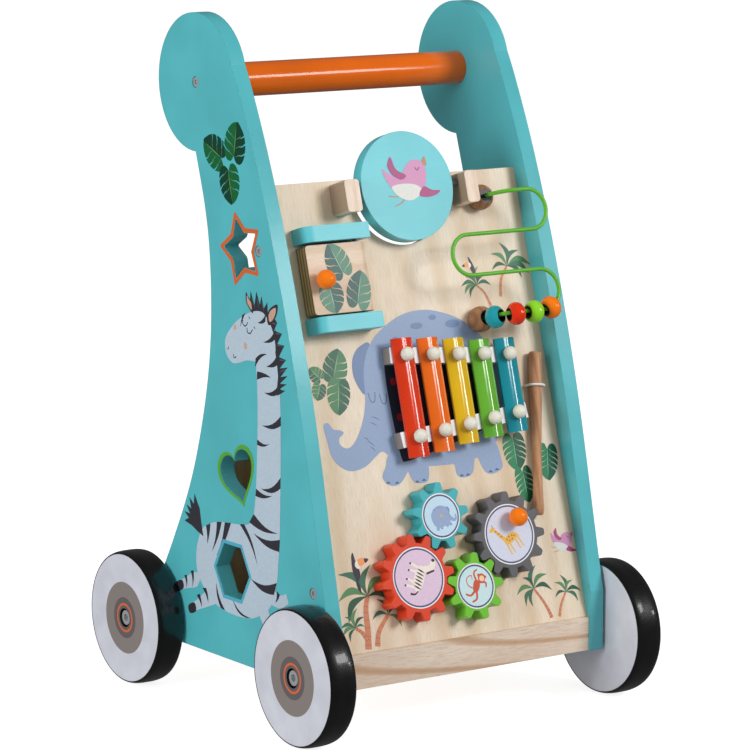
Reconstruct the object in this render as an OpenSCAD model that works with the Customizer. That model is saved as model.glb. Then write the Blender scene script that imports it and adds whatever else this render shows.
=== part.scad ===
// Push-along baby walker with a sloping activity panel. Units are millimetres.
// X runs across the walker. -Y is the front, which carries the activity panel.
// +Y is the rear, where the child walks and holds the bar. +Z is up, the floor is z = 0.
// Pieces on the sloping panel are placed as (x, s, w): x across, s up the slope, w out of its face.

/* [Frame] */
// Clear width between the two side panels
inner_w = 220; // [218:1:222]
// Thickness of each side panel
side_t = 12; // [10:0.5:13]
// Height of the bottom edge of the side panels above the floor
foot_z = 36.5; // [34:0.5:38]
// Radius of the round head at the top of each side panel
head_r = 50; // [46:0.5:54]
// Distance of the handle axis behind the middle of the wheelbase
handle_y = 45.5; // [45:0.5:46]
// Height of the handle axis above the floor
handle_z = 453.6; // [453:0.1:454]
// Diameter of the handle bar
handle_d = 25; // [20:0.5:30]

/* [Activity panel] */
// Angle of the front panel from vertical
panel_tilt = 16.08; // [15.9:0.02:16.2]
// Thickness of the front panel
panel_t = 7; // [6:0.5:9]
// Radius of the round cut-out behind the spinning disc
cutout_r = 41; // [41:0.5:43]

/* [Wheels] */
// Outer diameter over the tyre
wheel_d = 100; // [94:1:104]
// Width of the tyre
wheel_w = 21.4; // [20:0.2:22]
// Distance between the front and rear axles
wheelbase = 225.6; // [224:0.2:227]
// Gap between a side panel and the tyre
wheel_gap = 2.4; // [2:0.1:3]

/* [Spinning disc] */
// Radius of the disc
disc_r = 40; // [36:0.5:40]
// Thickness of the disc
disc_t = 10; // [8:0.5:11]

/* [Door] */
// Thickness of the door board
door_t = 12; // [11:0.5:12]
// Depth of the two door rails
door_rail_t = 17; // [15:0.5:19]

/* [Bead maze] */
// Wire diameter
wire_d = 3; // [2.5:0.1:3.2]
// Distance between neighbouring runs of the wire
wire_pitch = 29.7; // [29.6:0.1:29.8]
// Bead diameter
bead_d = 17; // [16:0.2:17]

/* [Xylophone] */
// Width of each tone bar
bar_w = 17.5; // [15:0.5:18.5]
// Metal thickness of each tone bar
bar_t = 1.5; // [1.2:0.1:2]

/* [Gears] */
// Gear thickness
gear_t = 12; // [10:0.5:12]
// Depth of a tooth
tooth_h = 6.5; // [6:0.1:6.5]

/* [Hidden] */
$fn = 64;
fine = 128;
coarse = 32;
in_x = inner_w / 2;
out_x = in_x + side_t;
wheel_y = wheelbase / 2;
wheel_r = wheel_d / 2;
// The panel face passes through this line at this height
panel_y = -65.28;
panel_z = 250;
panel_top = 140;
panel_foot = -196;
// Front and rear rails
rail_depth = 18;
front_rail_top = 61.5;
rear_rail_top = 57.5;
front_rail_y = -121.8;
rear_rail_y = 103.8;
board_t = 9;
base_z = 40;
back_y = 34;
back_top = 194;
// Screws and bolts
bolt_r = 4;
bolt_head_r = 5.5;
bolt_head_t = 5;
bolt_reach = 38;
screw_r = 1.8;
screw_head_r = 3.8;
screw_sink_r = 4.1;
screw_head_t = 2;
screw_len = 30;
run_gap = 0.06;
panel_screws_yz = [[-36.2, 340], [-103.8, 105.6]];
// Wheel
core_r = wheel_r - 2.2;
core_inset = 0.2;
hub_recess_r = 7;
hub_recess_d = 7;
washer_r = 9;
washer_t = 1.6;
// Spinning disc
disc_x = 2.8;
disc_s = 130.5;
disc_w = 8;
axle_r = 2.5;
block_h = 23.5;
block_s = 113.8;
block_t = 20;
block_left = [-56.2, 12.7];
block_right = [49.5, 10.9];
// Door
door_x = -93.3;
door_s = 43.5;
door_w = 52.8;
door_h = 49.9;
door_gap = 1;
door_pivot_x = -46.5;
door_rail_x = -94.2;
door_rail_len = 55.3;
door_rail_h = 11.5;
door_rail_s = [30.4, 95.2];
door_pin_r = 1.5;
knob_r = 7.1;
door_knob_xs = [-85.5, 67.3];
// Bead maze
wire_r = wire_d / 2;
bend_r = wire_pitch / 2;
base_h = 14;
base_profile = [[0, 0], [7.6, 0], [8.7, 2], [9.3, 4.5], [9.4, 7], [9, 9.5], [8, 11.8], [6.4, 13.5]];
plug_r = 5.3;
plug_t = 4;
wire_rise = 17;
wire_w = wire_rise + bend_r;
maze_low_s = 29.4;
maze_top_s = maze_low_s + 3 * wire_pitch;
maze_low_x = 53.4;
maze_top_x = 70.4;
loop_right_x = 94;
loop_left_x = 34;
bead_r = bead_d / 2;
bead_half = 5.6;
bead_bulge = 7.1;
bead_hang = 1.1;
liner_r = 4.75;
liner_bore_r = 3.4;
bead_slack = 0.8;
// Xylophone
bar_x0 = -22.4;
bar_pitch = 22.5;
bar_top_s = [21.4, 19.7, 17.3, 14.4, 13.5];
bar_len = [86.3, 82.9, 76.9, 71.8, 69.2];
bar_arch_r = 16.5;
xylo_rail_t = 9;
xylo_rail_h = 11.5;
top_rail = [[-33.2, 10.1], [77, 0.8]];
low_rail = [[-34.6, -51.3], [79.2, -40.4]];
pin_head_r = 5.1;
pin_shank_r = 1.7;
// Mallet
mallet_top = [97.7, 1.2];
mallet_len = 120.6;
mallet_lean = 9.9;
mallet_w = 5.35;
mallet_loop_at = 25;
loop_cord_r = 0.9;
loop_turn_r = 6.3;
// Gears
small_root = 17.8;
big_root = 24.7;
gear_gap = 1;
gear_pin_r = 2.2;
gear_head_r = 4;
tooth_root_w = 8;
tooth_tip_w = 4.7;
teal_xs = [-14.4, -108.6];
red_xs = [-42, -149.7];
green_xs = [6, -161.8];
grey_xs = [42.75, -128.6];
crank_xs = [4.1, 11.2];
crank_r = 6.9;

teal = [0.37, 0.72, 0.75];
pale_wood = [0.88, 0.79, 0.66];
red = [0.87, 0.22, 0.08];
orange = [0.96, 0.45, 0.1];
yellow = [0.88, 0.71, 0.1];
green = [0.48, 0.79, 0.2];
steel = [0.75, 0.76, 0.78];
black = [0.06, 0.06, 0.07];

// Lists every separate piece

// Smooth line through control points
function blend_at(a, b, c, d, t) =
  0.5 * (2 * b + (c - a) * t + (2 * a - 5 * b + 4 * c - d) * t * t
  + (3 * b - a - 3 * c + d) * t * t * t);
function smooth_line(p, n) = [
  for (i = [0 : len(p) - 2])
    for (k = [0 : n - 1])
      blend_at(p[max(i - 1, 0)], p[i], p[i + 1], p[min(i + 2, len(p) - 1)], k / n),
  p[len(p) - 1]
];

// Cuts every corner of an outline back by d and rounds it
function soft_corner(a, b, c, d, n) = [
  for (k = [0 : n])
    let (t = k / n, u = b + (a - b) / norm(a - b) * d, v = b + (c - b) / norm(c - b) * d)
      (1 - t) * (1 - t) * u + 2 * t * (1 - t) * b + t * t * v
];
function softened(p, d, n) = [
  for (i = [0 : len(p) - 1])
    each soft_corner(p[(i + len(p) - 1) % len(p)], p[i], p[(i + 1) % len(p)], d, n)
];
function rect(w, h) = [[0, 0], [w, 0], [w, h], [0, h]];
function star(outer, inner) = [
  for (i = [0 : 9])
    (i % 2 == 0 ? outer : inner) * [cos(36 * i), sin(36 * i)]
];
function heart_point(t, half_w) =
  half_w / 16 * [16 * pow(sin(t), 3),
  1.045 * (13 * cos(t) - 4 * cos(2 * t) - 2 * cos(3 * t) - 0.6 * cos(4 * t) + 15.6)];
function heart(half_w, n) = [for (i = [0 : n - 1]) heart_point(360 * i / n, half_w)];
function gear_outline(teeth, root_r, turn) =
  let (tip_r = root_r + tooth_h)
    [for (i = [0 : teeth - 1])
      let (a = turn + 360 * i / teeth, u = [cos(a), sin(a)], v = [-sin(a), cos(a)])
        each [
          u * sqrt(pow(root_r, 2) - pow(tooth_root_w / 2, 2)) - v * tooth_root_w / 2,
          u * (tip_r - 0.9) - v * (tooth_tip_w / 2 + 0.2),
          u * tip_r - v * (tooth_tip_w / 2 - 0.9),
          u * tip_r + v * (tooth_tip_w / 2 - 0.9),
          u * (tip_r - 0.9) + v * (tooth_tip_w / 2 + 0.2),
          u * sqrt(pow(root_r, 2) - pow(tooth_root_w / 2, 2)) + v * tooth_root_w / 2
        ]];

// Side outline, front edge from foot to head and rear edge from neck to foot
front_edge = [
  [-123.2, 81], [-119.5, 96], [-111.8, 130], [-103.1, 170], [-94, 210], [-83.8, 250],
  [-72.4, 290], [-59.8, 330], [-45.9, 370], [-30.1, 410], [-11.9, 450], [1, 474.4]
];
rear_edge = [
  [46, 404.5], [41.5, 390.6], [35, 369.5], [30.2, 348.3], [27.6, 326.9], [26.5, 305.2],
  [26.7, 283.3], [28.4, 261.2], [31.9, 238.9], [37.2, 216], [44, 192.8], [52.3, 169.4],
  [63.4, 145.1], [77, 120.1], [91.8, 94.9], [106, 73.5], [118, 60.5], [126, 53]
];
side_outline = concat(
  [[-123.2, foot_z]],
  smooth_line(front_edge, 4),
  [[handle_y, handle_z]],
  smooth_line(rear_edge, 4),
  [[126, foot_z]]
);

// Lays an outline drawn in Y and Z flat against a plane of constant X
module in_side_plane(x) {
  translate([x, 0, 0])
    rotate([90, 0, 90])
      children();
}

// Puts pieces onto the sloping panel face
module on_panel() {
  translate([0, panel_y, panel_z])
    rotate([90 - panel_tilt, 0, 0])
      children();
}

module x_rod(x0, x1, y, z, r) {
  translate([x0, y, z])
    rotate([0, 90, 0])
      cylinder(h = x1 - x0, r = r);
}

module mirrored_x() {
  children();
  mirror([1, 0, 0])
    children();
}

module side_blank() {
  union() {
    linear_extrude(side_t)
      polygon(side_outline);
    translate([handle_y, handle_z, 0])
      cylinder(h = side_t, r = head_r, $fn = fine);
  }
}

// Bolt and screw holes of a side panel, cut from its outer face inwards
module side_drillings() {
  for (y = [-wheel_y, wheel_y])
    x_rod(in_x - 1, out_x + 1, y, wheel_r, bolt_r);
  for (p = concat(panel_screws_yz, [[handle_y, handle_z]])) {
    x_rod(in_x - 1, out_x + 1, p[0], p[1], screw_r);
    x_rod(out_x - screw_head_t - 0.5, out_x + 1, p[0], p[1], screw_sink_r);
  }
}

module shape_holes() {
  in_side_plane(-out_x - 1)
    linear_extrude(side_t + 2) {
      translate([-14, 338.8])
        polygon(softened(star(22.8, 12.8), 2, 4));
      translate([-15, 155.6])
        rotate(-21.8)
          polygon(heart(21.3, 48));
      translate([0, 102.8])
        circle(r = 22, $fn = 6);
    }
}

module side_panel_left() {
  color(teal)
    difference() {
      in_side_plane(-out_x)
        side_blank();
      mirror([1, 0, 0])
        side_drillings();
      shape_holes();
    }
}

module side_panel_right() {
  color(teal)
    difference() {
      in_side_plane(in_x)
        side_blank();
      side_drillings();
    }
}

module front_panel() {
  color(pale_wood)
    difference() {
      on_panel()
        translate([-in_x, panel_foot - 4, -panel_t])
          cube([inner_w, panel_top - panel_foot + 4, panel_t]);
      translate([-in_x - 1, panel_y - 80, 0])
        cube([inner_w + 2, 100, front_rail_top]);
      on_panel() {
        translate([disc_x, disc_s, -panel_t - 1])
          cylinder(h = panel_t + 2, r = cutout_r, $fn = fine);
        for (c = [teal_xs, red_xs, green_xs, grey_xs])
          translate([c[0], c[1], -panel_t + 1])
            cylinder(h = panel_t, r = gear_pin_r);
        loop_legs();
      }
      mirrored_x()
        for (p = panel_screws_yz)
          x_rod(out_x - screw_len, in_x + 1, p[0], p[1], screw_r);
    }
}

module back_panel() {
  color(pale_wood)
    translate([-in_x, back_y, base_z + board_t])
      cube([inner_w, board_t, back_top - base_z - board_t]);
}

module base_board() {
  color(pale_wood)
    translate([-in_x, front_rail_y + rail_depth, base_z])
      cube([inner_w, back_y + board_t - front_rail_y - rail_depth, board_t]);
}

module cross_rail(y, top) {
  difference() {
    translate([-in_x, y, foot_z])
      cube([inner_w, rail_depth, top - foot_z]);
    mirrored_x()
      x_rod(out_x - bolt_reach, in_x + 1, sign(y) * wheel_y, wheel_r, bolt_r);
  }
}

module front_rail() {
  color(pale_wood)
    cross_rail(front_rail_y, front_rail_top);
}

module rear_rail() {
  color(pale_wood)
    cross_rail(rear_rail_y, rear_rail_top);
}

module handle_bar() {
  color(orange)
    difference() {
      x_rod(-in_x, in_x, handle_y, handle_z, handle_d / 2, $fn = fine);
      mirrored_x()
        x_rod(out_x - screw_len, in_x + 1, handle_y, handle_z, screw_r);
    }
}

// One screw entering from the outer face of the right side panel
module side_screw(y, z) {
  difference() {
    union() {
      x_rod(out_x - screw_len, out_x - screw_head_t - 0.5, y, z, screw_r);
      x_rod(out_x - screw_head_t - 0.5, out_x - 0.5, y, z, screw_head_r);
    }
    x_rod(out_x - 1.8, out_x, y, z, 1.9, $fn = 6);
  }
}

module panel_screws() {
  color(steel)
    mirrored_x()
      for (p = panel_screws_yz)
        side_screw(p[0], p[1]);
}

module handle_screws() {
  color(steel)
    mirrored_x()
      side_screw(handle_y, handle_z);
}

// A bearing block from its left edge and its width
module disc_block(place) {
  difference() {
    translate([place[0], block_s, 0])
      linear_extrude(block_t)
        polygon(softened(rect(place[1], block_h), 3, 4));
    x_rod(disc_x - 53, disc_x + 53, disc_s, disc_w, axle_r + run_gap);
  }
}

module disc_block_left() {
  color(pale_wood)
    on_panel()
      disc_block(block_left);
}

module disc_block_right() {
  color(pale_wood)
    on_panel()
      disc_block(block_right);
}

module disc_axle() {
  color(steel)
    on_panel()
      x_rod(disc_x - 52.6, disc_x + 52.6, disc_s, disc_w, axle_r);
}

module spinner_disc() {
  color(teal)
    on_panel()
      difference() {
        translate([disc_x, disc_s, disc_w - disc_t / 2])
          cylinder(h = disc_t, r = disc_r, $fn = fine);
        x_rod(disc_x - disc_r - 1, disc_x + disc_r + 1, disc_s, disc_w, axle_r);
      }
}

// Outline of a door rail seen along the slope, with a rounded outer left corner
function door_rail_outline() = concat(
  [[0, 0], [door_rail_len, 0], [door_rail_len, door_rail_t]],
  soft_corner([door_rail_len, door_rail_t], [0, door_rail_t], [0, 0], 8, 8)
);

module door_rail(s) {
  difference() {
    translate([door_rail_x, s + door_rail_h, 0])
      rotate([90, 0, 0])
        linear_extrude(door_rail_h)
          polygon(door_rail_outline());
    door_pin_rods(door_pin_r);
  }
}

// Hinge pins of the door, one through each rail
module door_pin_rods(r) {
  for (s = [door_rail_s[0] + 2, door_s + door_h - 8])
    translate([door_pivot_x, s, door_gap + door_t / 2])
      rotate([-90, 0, 0])
        cylinder(h = 19, r = r);
}

module door_rail_top() {
  color(teal)
    on_panel()
      door_rail(door_rail_s[1]);
}

module door_rail_bottom() {
  color(teal)
    on_panel()
      door_rail(door_rail_s[0]);
}

module door() {
  color(pale_wood)
    on_panel()
      difference() {
        union() {
          translate([door_x, door_s, door_gap])
            linear_extrude(door_t)
              polygon(concat(
                soft_corner([20, 0], [0, 0], [0, 20], 3, 4),
                soft_corner([0, 20], [0, door_h], [20, door_h], 3, 4),
                [[door_pivot_x - door_x, door_h], [door_pivot_x - door_x, 0]]
              ));
          translate([door_pivot_x, door_s, door_gap + door_t / 2])
            rotate([-90, 0, 0])
              cylinder(h = door_h, r = door_t / 2);
        }
        door_pin_rods(door_pin_r + run_gap);
        translate([door_knob_xs[0], door_knob_xs[1], door_gap + 3])
          cylinder(h = door_t, r = 2.5);
      }
}

module ball_knob(r, peg) {
  union() {
    cylinder(h = peg + r, r = 2.5);
    translate([0, 0, peg + r + 1.6])
      sphere(r = r);
  }
}

module door_knob() {
  color(orange)
    on_panel()
      translate([door_knob_xs[0], door_knob_xs[1], door_gap + 3])
        ball_knob(knob_r, door_t - 3);
}

module door_pins() {
  color(steel)
    on_panel()
      door_pin_rods(door_pin_r);
}

module maze_base(x, s) {
  translate([x, s, 0])
    difference() {
      rotate_extrude()
        polygon(concat(base_profile, [[5.8, base_h], [0, base_h]]));
      translate([0, 0, base_h - plug_t])
        cylinder(h = plug_t + 1, r = plug_r);
      translate([0, 0, 3])
        cylinder(h = base_h, r = wire_r);
    }
}

module maze_base_upper() {
  color([0.62, 0.42, 0.26])
    on_panel()
      maze_base(maze_top_x, maze_top_s);
}

module maze_base_lower() {
  color([0.62, 0.42, 0.26])
    on_panel()
      maze_base(maze_low_x, maze_low_s);
}

module maze_plugs() {
  color(black)
    on_panel()
      for (p = [[maze_top_x, maze_top_s], [maze_low_x, maze_low_s]])
        translate([p[0], p[1], base_h - plug_t])
          difference() {
            cylinder(h = plug_t, r = plug_r);
            translate([0, 0, -1])
              cylinder(h = plug_t + 2, r = wire_r);
          }
}

// Straight stretch of wire across the panel
module wire_run(x0, x1, s) {
  x_rod(x0, x1, s, wire_w, wire_r, $fn = coarse);
}

// Half turn of wire lying parallel to the panel, open towards dir
module wire_loop(x, s, turn) {
  translate([x, s, wire_w])
    rotate([0, 0, turn])
      rotate_extrude(angle = 180, $fn = fine)
        translate([bend_r, 0])
          circle(r = wire_r, $fn = coarse);
}

// Stem of wire rising out of a base and turning across the panel
module wire_stem(x, s) {
  translate([x, s, 3])
    cylinder(h = wire_rise - 3, r = wire_r, $fn = coarse);
  translate([x + bend_r, s, wire_rise])
    rotate([90, 0, 0])
      rotate([0, 0, 90])
        rotate_extrude(angle = 90, $fn = fine)
          translate([bend_r, 0])
            circle(r = wire_r, $fn = coarse);
}

module maze_wire() {
  color(green)
    on_panel() {
      wire_stem(maze_top_x, maze_top_s);
      wire_run(maze_top_x + bend_r, loop_right_x, maze_top_s);
      wire_loop(loop_right_x, maze_top_s - bend_r, -90);
      wire_run(loop_left_x, loop_right_x, maze_top_s - wire_pitch);
      wire_loop(loop_left_x, maze_top_s - wire_pitch - bend_r, 90);
      wire_run(loop_left_x, loop_right_x, maze_low_s + wire_pitch);
      wire_loop(loop_right_x, maze_low_s + bend_r, -90);
      wire_run(maze_low_x + bend_r, loop_right_x, maze_low_s);
      wire_stem(maze_low_x, maze_low_s);
    }
}

// Places of the beads on the wire
module at_orange() {
  translate([loop_right_x, maze_low_s + bend_r, wire_w])
    rotate([0, 0, 18])
      translate([0, -bend_r, 0])
        rotate([0, 90, 0])
          children();
}

module at_lime() {
  translate([83, maze_low_s - bead_hang, wire_w])
    rotate([0, 90, 0])
      children();
}

module at_red() {
  translate([66.9, maze_low_s - bead_hang, wire_w - 0.4])
    rotate([0, 78, 0])
      children();
}

module at_teal() {
  translate([maze_low_x + bend_r, maze_low_s - bead_hang, wire_rise])
    rotate([0, 20, 0])
      translate([bead_slack - bend_r, 0, 0])
        children();
}

// A turned bead, slightly shorter along its hole than across
module bead(tone) {
  bulge = [
    for (i = [-8 : 8])
      let (z = bead_half * i / 8) [bead_r * sqrt(1 - pow(z / bead_bulge, 2)), z]
  ];
  color(tone)
    rotate_extrude()
      polygon(concat([[liner_r, -bead_half]], bulge, [[liner_r, bead_half]]));
}

module liner() {
  color(black)
    difference() {
      cylinder(h = 2 * bead_half, r = liner_r, center = true);
      cylinder(h = 3 * bead_half, r = liner_bore_r, center = true);
    }
}

module bead_orange() {
  on_panel()
    at_orange()
      bead(orange);
}

module bead_lime() {
  on_panel()
    at_lime()
      bead([0.62, 0.82, 0.2]);
}

module bead_red() {
  on_panel()
    at_red()
      bead(red);
}

module bead_teal() {
  on_panel()
    at_teal()
      bead([0.18, 0.66, 0.7]);
}

module liner_orange() {
  on_panel()
    at_orange()
      liner();
}

module liner_lime() {
  on_panel()
    at_lime()
      liner();
}

module liner_red() {
  on_panel()
    at_red()
      liner();
}

module liner_teal() {
  on_panel()
    at_teal()
      liner();
}

// Point of a rail's centre line at a given x
function rail_s(rail, x) =
  rail[0][1] + (rail[1][1] - rail[0][1]) * (x - rail[0][0]) / (rail[1][0] - rail[0][0]);
function bar_x(i) = bar_x0 + i * bar_pitch;
bar_crown = xylo_rail_t + 0.02 + bar_arch_r - sqrt(pow(bar_arch_r - bar_t, 2) - pow(bar_w / 2, 2));

module xylo_rail(rail) {
  d = rail[1] - rail[0];
  difference() {
    translate([rail[0][0], rail[0][1], 0])
      rotate([0, 0, atan2(d[1], d[0])])
        translate([0, -xylo_rail_h / 2, 0])
          cube([norm(d), xylo_rail_h, xylo_rail_t]);
    tone_pin_shanks(pin_shank_r);
  }
}

module tone_pin_shanks(r) {
  for (i = [0 : 4])
    for (rail = [top_rail, low_rail])
      translate([bar_x(i), rail_s(rail, bar_x(i)), 2])
        cylinder(h = bar_crown, r = r, $fn = coarse);
}

module xylo_rail_top() {
  color([0.95, 0.95, 0.95])
    on_panel()
      xylo_rail(top_rail);
}

module xylo_rail_bottom() {
  color([0.95, 0.95, 0.95])
    on_panel()
      xylo_rail(low_rail);
}

// Arched metal strip with two holes for its pins
module tone_bar(i, tone) {
  color(tone)
    on_panel()
      difference() {
        translate([bar_x(i), bar_top_s[i], bar_crown - bar_arch_r])
          rotate([90, 0, 0])
            linear_extrude(bar_len[i])
              difference() {
                circle(r = bar_arch_r, $fn = fine);
                circle(r = bar_arch_r - bar_t, $fn = fine);
                translate([-2 * bar_arch_r, -2 * bar_arch_r])
                  square([4 * bar_arch_r, 2 * bar_arch_r + 8]);
                for (x = [bar_w / 2, -bar_w / 2 - bar_arch_r])
                  translate([x, 0])
                    square([bar_arch_r, 2 * bar_arch_r]);
              }
        tone_pin_shanks(pin_shank_r + 0.4);
      }
}

module tone_bar_red() {
  tone_bar(0, red);
}

module tone_bar_orange() {
  tone_bar(1, orange);
}

module tone_bar_yellow() {
  tone_bar(2, yellow);
}

module tone_bar_green() {
  tone_bar(3, green);
}

module tone_bar_teal() {
  tone_bar(4, [0.05, 0.6, 0.66]);
}

module tone_bar_pins() {
  color([0.95, 0.93, 0.85])
    on_panel() {
      tone_pin_shanks(pin_shank_r);
      for (i = [0 : 4])
        for (rail = [top_rail, low_rail])
          translate([bar_x(i), rail_s(rail, bar_x(i)), bar_crown + 2.4])
            difference() {
              sphere(r = pin_head_r);
              translate([-pin_head_r, -pin_head_r, -2.3 - pin_head_r])
                cube([2 * pin_head_r, 2 * pin_head_r, pin_head_r]);
            }
    }
}

// Puts pieces on the mallet's axis, its top end at zero and its foot down the slope
module on_mallet() {
  translate([mallet_top[0], mallet_top[1], mallet_w])
    rotate([0, 0, -mallet_lean])
      rotate([90, 0, 0])
        children();
}

module mallet() {
  profile = [
    [0, 0], [3.8, 0], [4.4, 0.5], [4.7, 1.6], [4.95, 14], [4.95, 27], [4.6, 36], [4.1, 46],
    [3.7, 57], [3.45, 70], [3.4, 84], [3.5, 95], [3.8, 106], [4.2, 113], [4.3, 117],
    [3.9, 119.6], [3.1, mallet_len], [0, mallet_len]
  ];
  color([0.66, 0.41, 0.25])
    on_panel()
      on_mallet()
        rotate_extrude()
          polygon(profile);
}

// Two legs of the elastic loop, reaching into the front panel
module loop_legs() {
  on_mallet()
    for (x = [-loop_turn_r, loop_turn_r])
      translate([x, 0, mallet_loop_at])
        rotate([90, 0, 0])
          cylinder(h = mallet_w + 4, r = loop_cord_r, $fn = coarse);
}

module mallet_loop() {
  color([0.95, 0.95, 0.94])
    on_panel() {
      loop_legs();
      on_mallet()
        translate([0, 0, mallet_loop_at])
          rotate_extrude(angle = 180)
            translate([loop_turn_r, 0])
              circle(r = loop_cord_r, $fn = coarse);
    }
}

// Toothed disc with a running bore and a counterbore for the head of its pin
module toy_gear(c, teeth, root_r, turn) {
  on_panel()
    translate([c[0], c[1], gear_gap])
      difference() {
        union() {
          cylinder(h = gear_t, r = root_r, $fn = fine);
          linear_extrude(gear_t)
            polygon(gear_outline(teeth, root_r, turn));
        }
        translate([0, 0, -1])
          cylinder(h = gear_t + 2, r = gear_pin_r + run_gap);
        translate([0, 0, gear_t - 3])
          cylinder(h = 4, r = gear_head_r + 0.4);
      }
}

module gear_teal() {
  color([0.2, 0.7, 0.74])
    toy_gear(teal_xs, 9, small_root, 6);
}

module gear_red() {
  color(red)
    toy_gear(red_xs, 12, big_root, 3.7);
}

module gear_green() {
  color(green)
    toy_gear(green_xs, 9, small_root, 2);
}

module gear_grey() {
  color([0.42, 0.42, 0.44])
    difference() {
      toy_gear(grey_xs, 12, big_root, 27.2);
      on_panel()
        translate([grey_xs[0] + crank_xs[0], grey_xs[1] + crank_xs[1], gear_gap + 4])
          cylinder(h = gear_t, r = 2.5);
    }
}

module gear_crank_knob() {
  color(orange)
    on_panel()
      translate([grey_xs[0] + crank_xs[0], grey_xs[1] + crank_xs[1], gear_gap + 4])
        ball_knob(crank_r, gear_t - 4);
}

module gear_pins() {
  color(steel)
    on_panel()
      for (c = [teal_xs, red_xs, green_xs, grey_xs])
        translate([c[0], c[1], -panel_t + 1]) {
          cylinder(h = panel_t - 1 + gear_gap + gear_t - 1, r = gear_pin_r);
          translate([0, 0, panel_t - 1 + gear_gap + gear_t - 2.4])
            cylinder(h = 1.6, r = gear_head_r);
        }
}

// Moves a wheel drawn for the right front corner to its own corner
module at_corner(side, end) {
  translate([0, end * wheel_y, wheel_r])
    mirror([side < 0 ? 1 : 0, 0, 0])
      children();
}

module wheel_core() {
  x0 = out_x + wheel_gap + core_inset;
  x1 = out_x + wheel_gap + wheel_w - core_inset;
  color([0.86, 0.87, 0.86])
    difference() {
      x_rod(x0, x1, 0, 0, core_r, $fn = fine);
      x_rod(x0 - 1, x1 + 1, 0, 0, bolt_r + run_gap);
      x_rod(x1 - hub_recess_d, x1 + 1, 0, 0, hub_recess_r);
    }
}

module tyre() {
  shoulder = [for (a = [0 : 10 : 90]) [wheel_r - 1.9 * (1 - sin(a)), 8 * (1 - cos(a))]];
  far_shoulder = [for (i = [9 : -1 : 0]) [shoulder[i][0], wheel_w - shoulder[i][1]]];
  profile = concat([[core_r, 0]], shoulder, far_shoulder, [[core_r, wheel_w]]);
  color(black)
    translate([out_x + wheel_gap, 0, 0])
      rotate([0, 90, 0])
        rotate_extrude($fn = fine)
          polygon(profile);
}

module wheel_front_left() {
  at_corner(-1, -1)
    wheel_core();
}

module wheel_front_right() {
  at_corner(1, -1)
    wheel_core();
}

module wheel_rear_left() {
  at_corner(-1, 1)
    wheel_core();
}

module wheel_rear_right() {
  at_corner(1, 1)
    wheel_core();
}

module tyre_front_left() {
  at_corner(-1, -1)
    tyre();
}

module tyre_front_right() {
  at_corner(1, -1)
    tyre();
}

module tyre_rear_left() {
  at_corner(-1, 1)
    tyre();
}

module tyre_rear_right() {
  at_corner(1, 1)
    tyre();
}

module wheel_bolts() {
  face = out_x + wheel_gap + wheel_w - 1.2;
  color(steel)
    for (side = [-1, 1])
      for (end = [-1, 1])
        at_corner(side, end)
          difference() {
            union() {
              x_rod(out_x - bolt_reach, face - bolt_head_t, 0, 0, bolt_r);
              x_rod(face - bolt_head_t, face, 0, 0, bolt_head_r);
            }
            x_rod(face - 3, face + 1, 0, 0, 2.9, $fn = 6);
          }
}

module wheel_washers() {
  color(steel)
    for (side = [-1, 1])
      for (end = [-1, 1])
        at_corner(side, end)
          difference() {
            x_rod(out_x, out_x + washer_t, 0, 0, washer_r);
            x_rod(out_x - 1, out_x + washer_t + 1, 0, 0, bolt_r);
          }
}

side_panel_left();
side_panel_right();
front_panel();
back_panel();
base_board();
front_rail();
rear_rail();
handle_bar();
handle_screws();
panel_screws();
disc_block_left();
disc_block_right();
disc_axle();
spinner_disc();
door_rail_top();
door_rail_bottom();
door();
door_knob();
door_pins();
maze_base_upper();
maze_base_lower();
maze_plugs();
maze_wire();
bead_orange();
bead_lime();
bead_red();
bead_teal();
liner_orange();
liner_lime();
liner_red();
liner_teal();
xylo_rail_top();
xylo_rail_bottom();
tone_bar_red();
tone_bar_orange();
tone_bar_yellow();
tone_bar_green();
tone_bar_teal();
tone_bar_pins();
mallet();
mallet_loop();
gear_teal();
gear_red();
gear_green();
gear_grey();
gear_crank_knob();
gear_pins();
wheel_front_left();
wheel_front_right();
wheel_rear_left();
wheel_rear_right();
tyre_front_left();
tyre_front_right();
tyre_rear_left();
tyre_rear_right();
wheel_bolts();
wheel_washers();
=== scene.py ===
# %% [markdown]
# # A wooden baby walker with an activity panel
#
# A toddler pushes this walker by its round handle. Two lacquered boards stand at the sides, and a
# sloping plywood panel between them carries the games: a spinning disc, a little door, a bead maze,
# a xylophone with a mallet, and four meshing gears. The solid parts come from a CAD model that is
# already in place, so this lesson is about finishes, printed pictures, light and the camera.

# %% Load the solid parts
import math

import bpy
import numpy as np
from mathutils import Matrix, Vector
from mathutils.geometry import delaunay_2d_cdt


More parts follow.
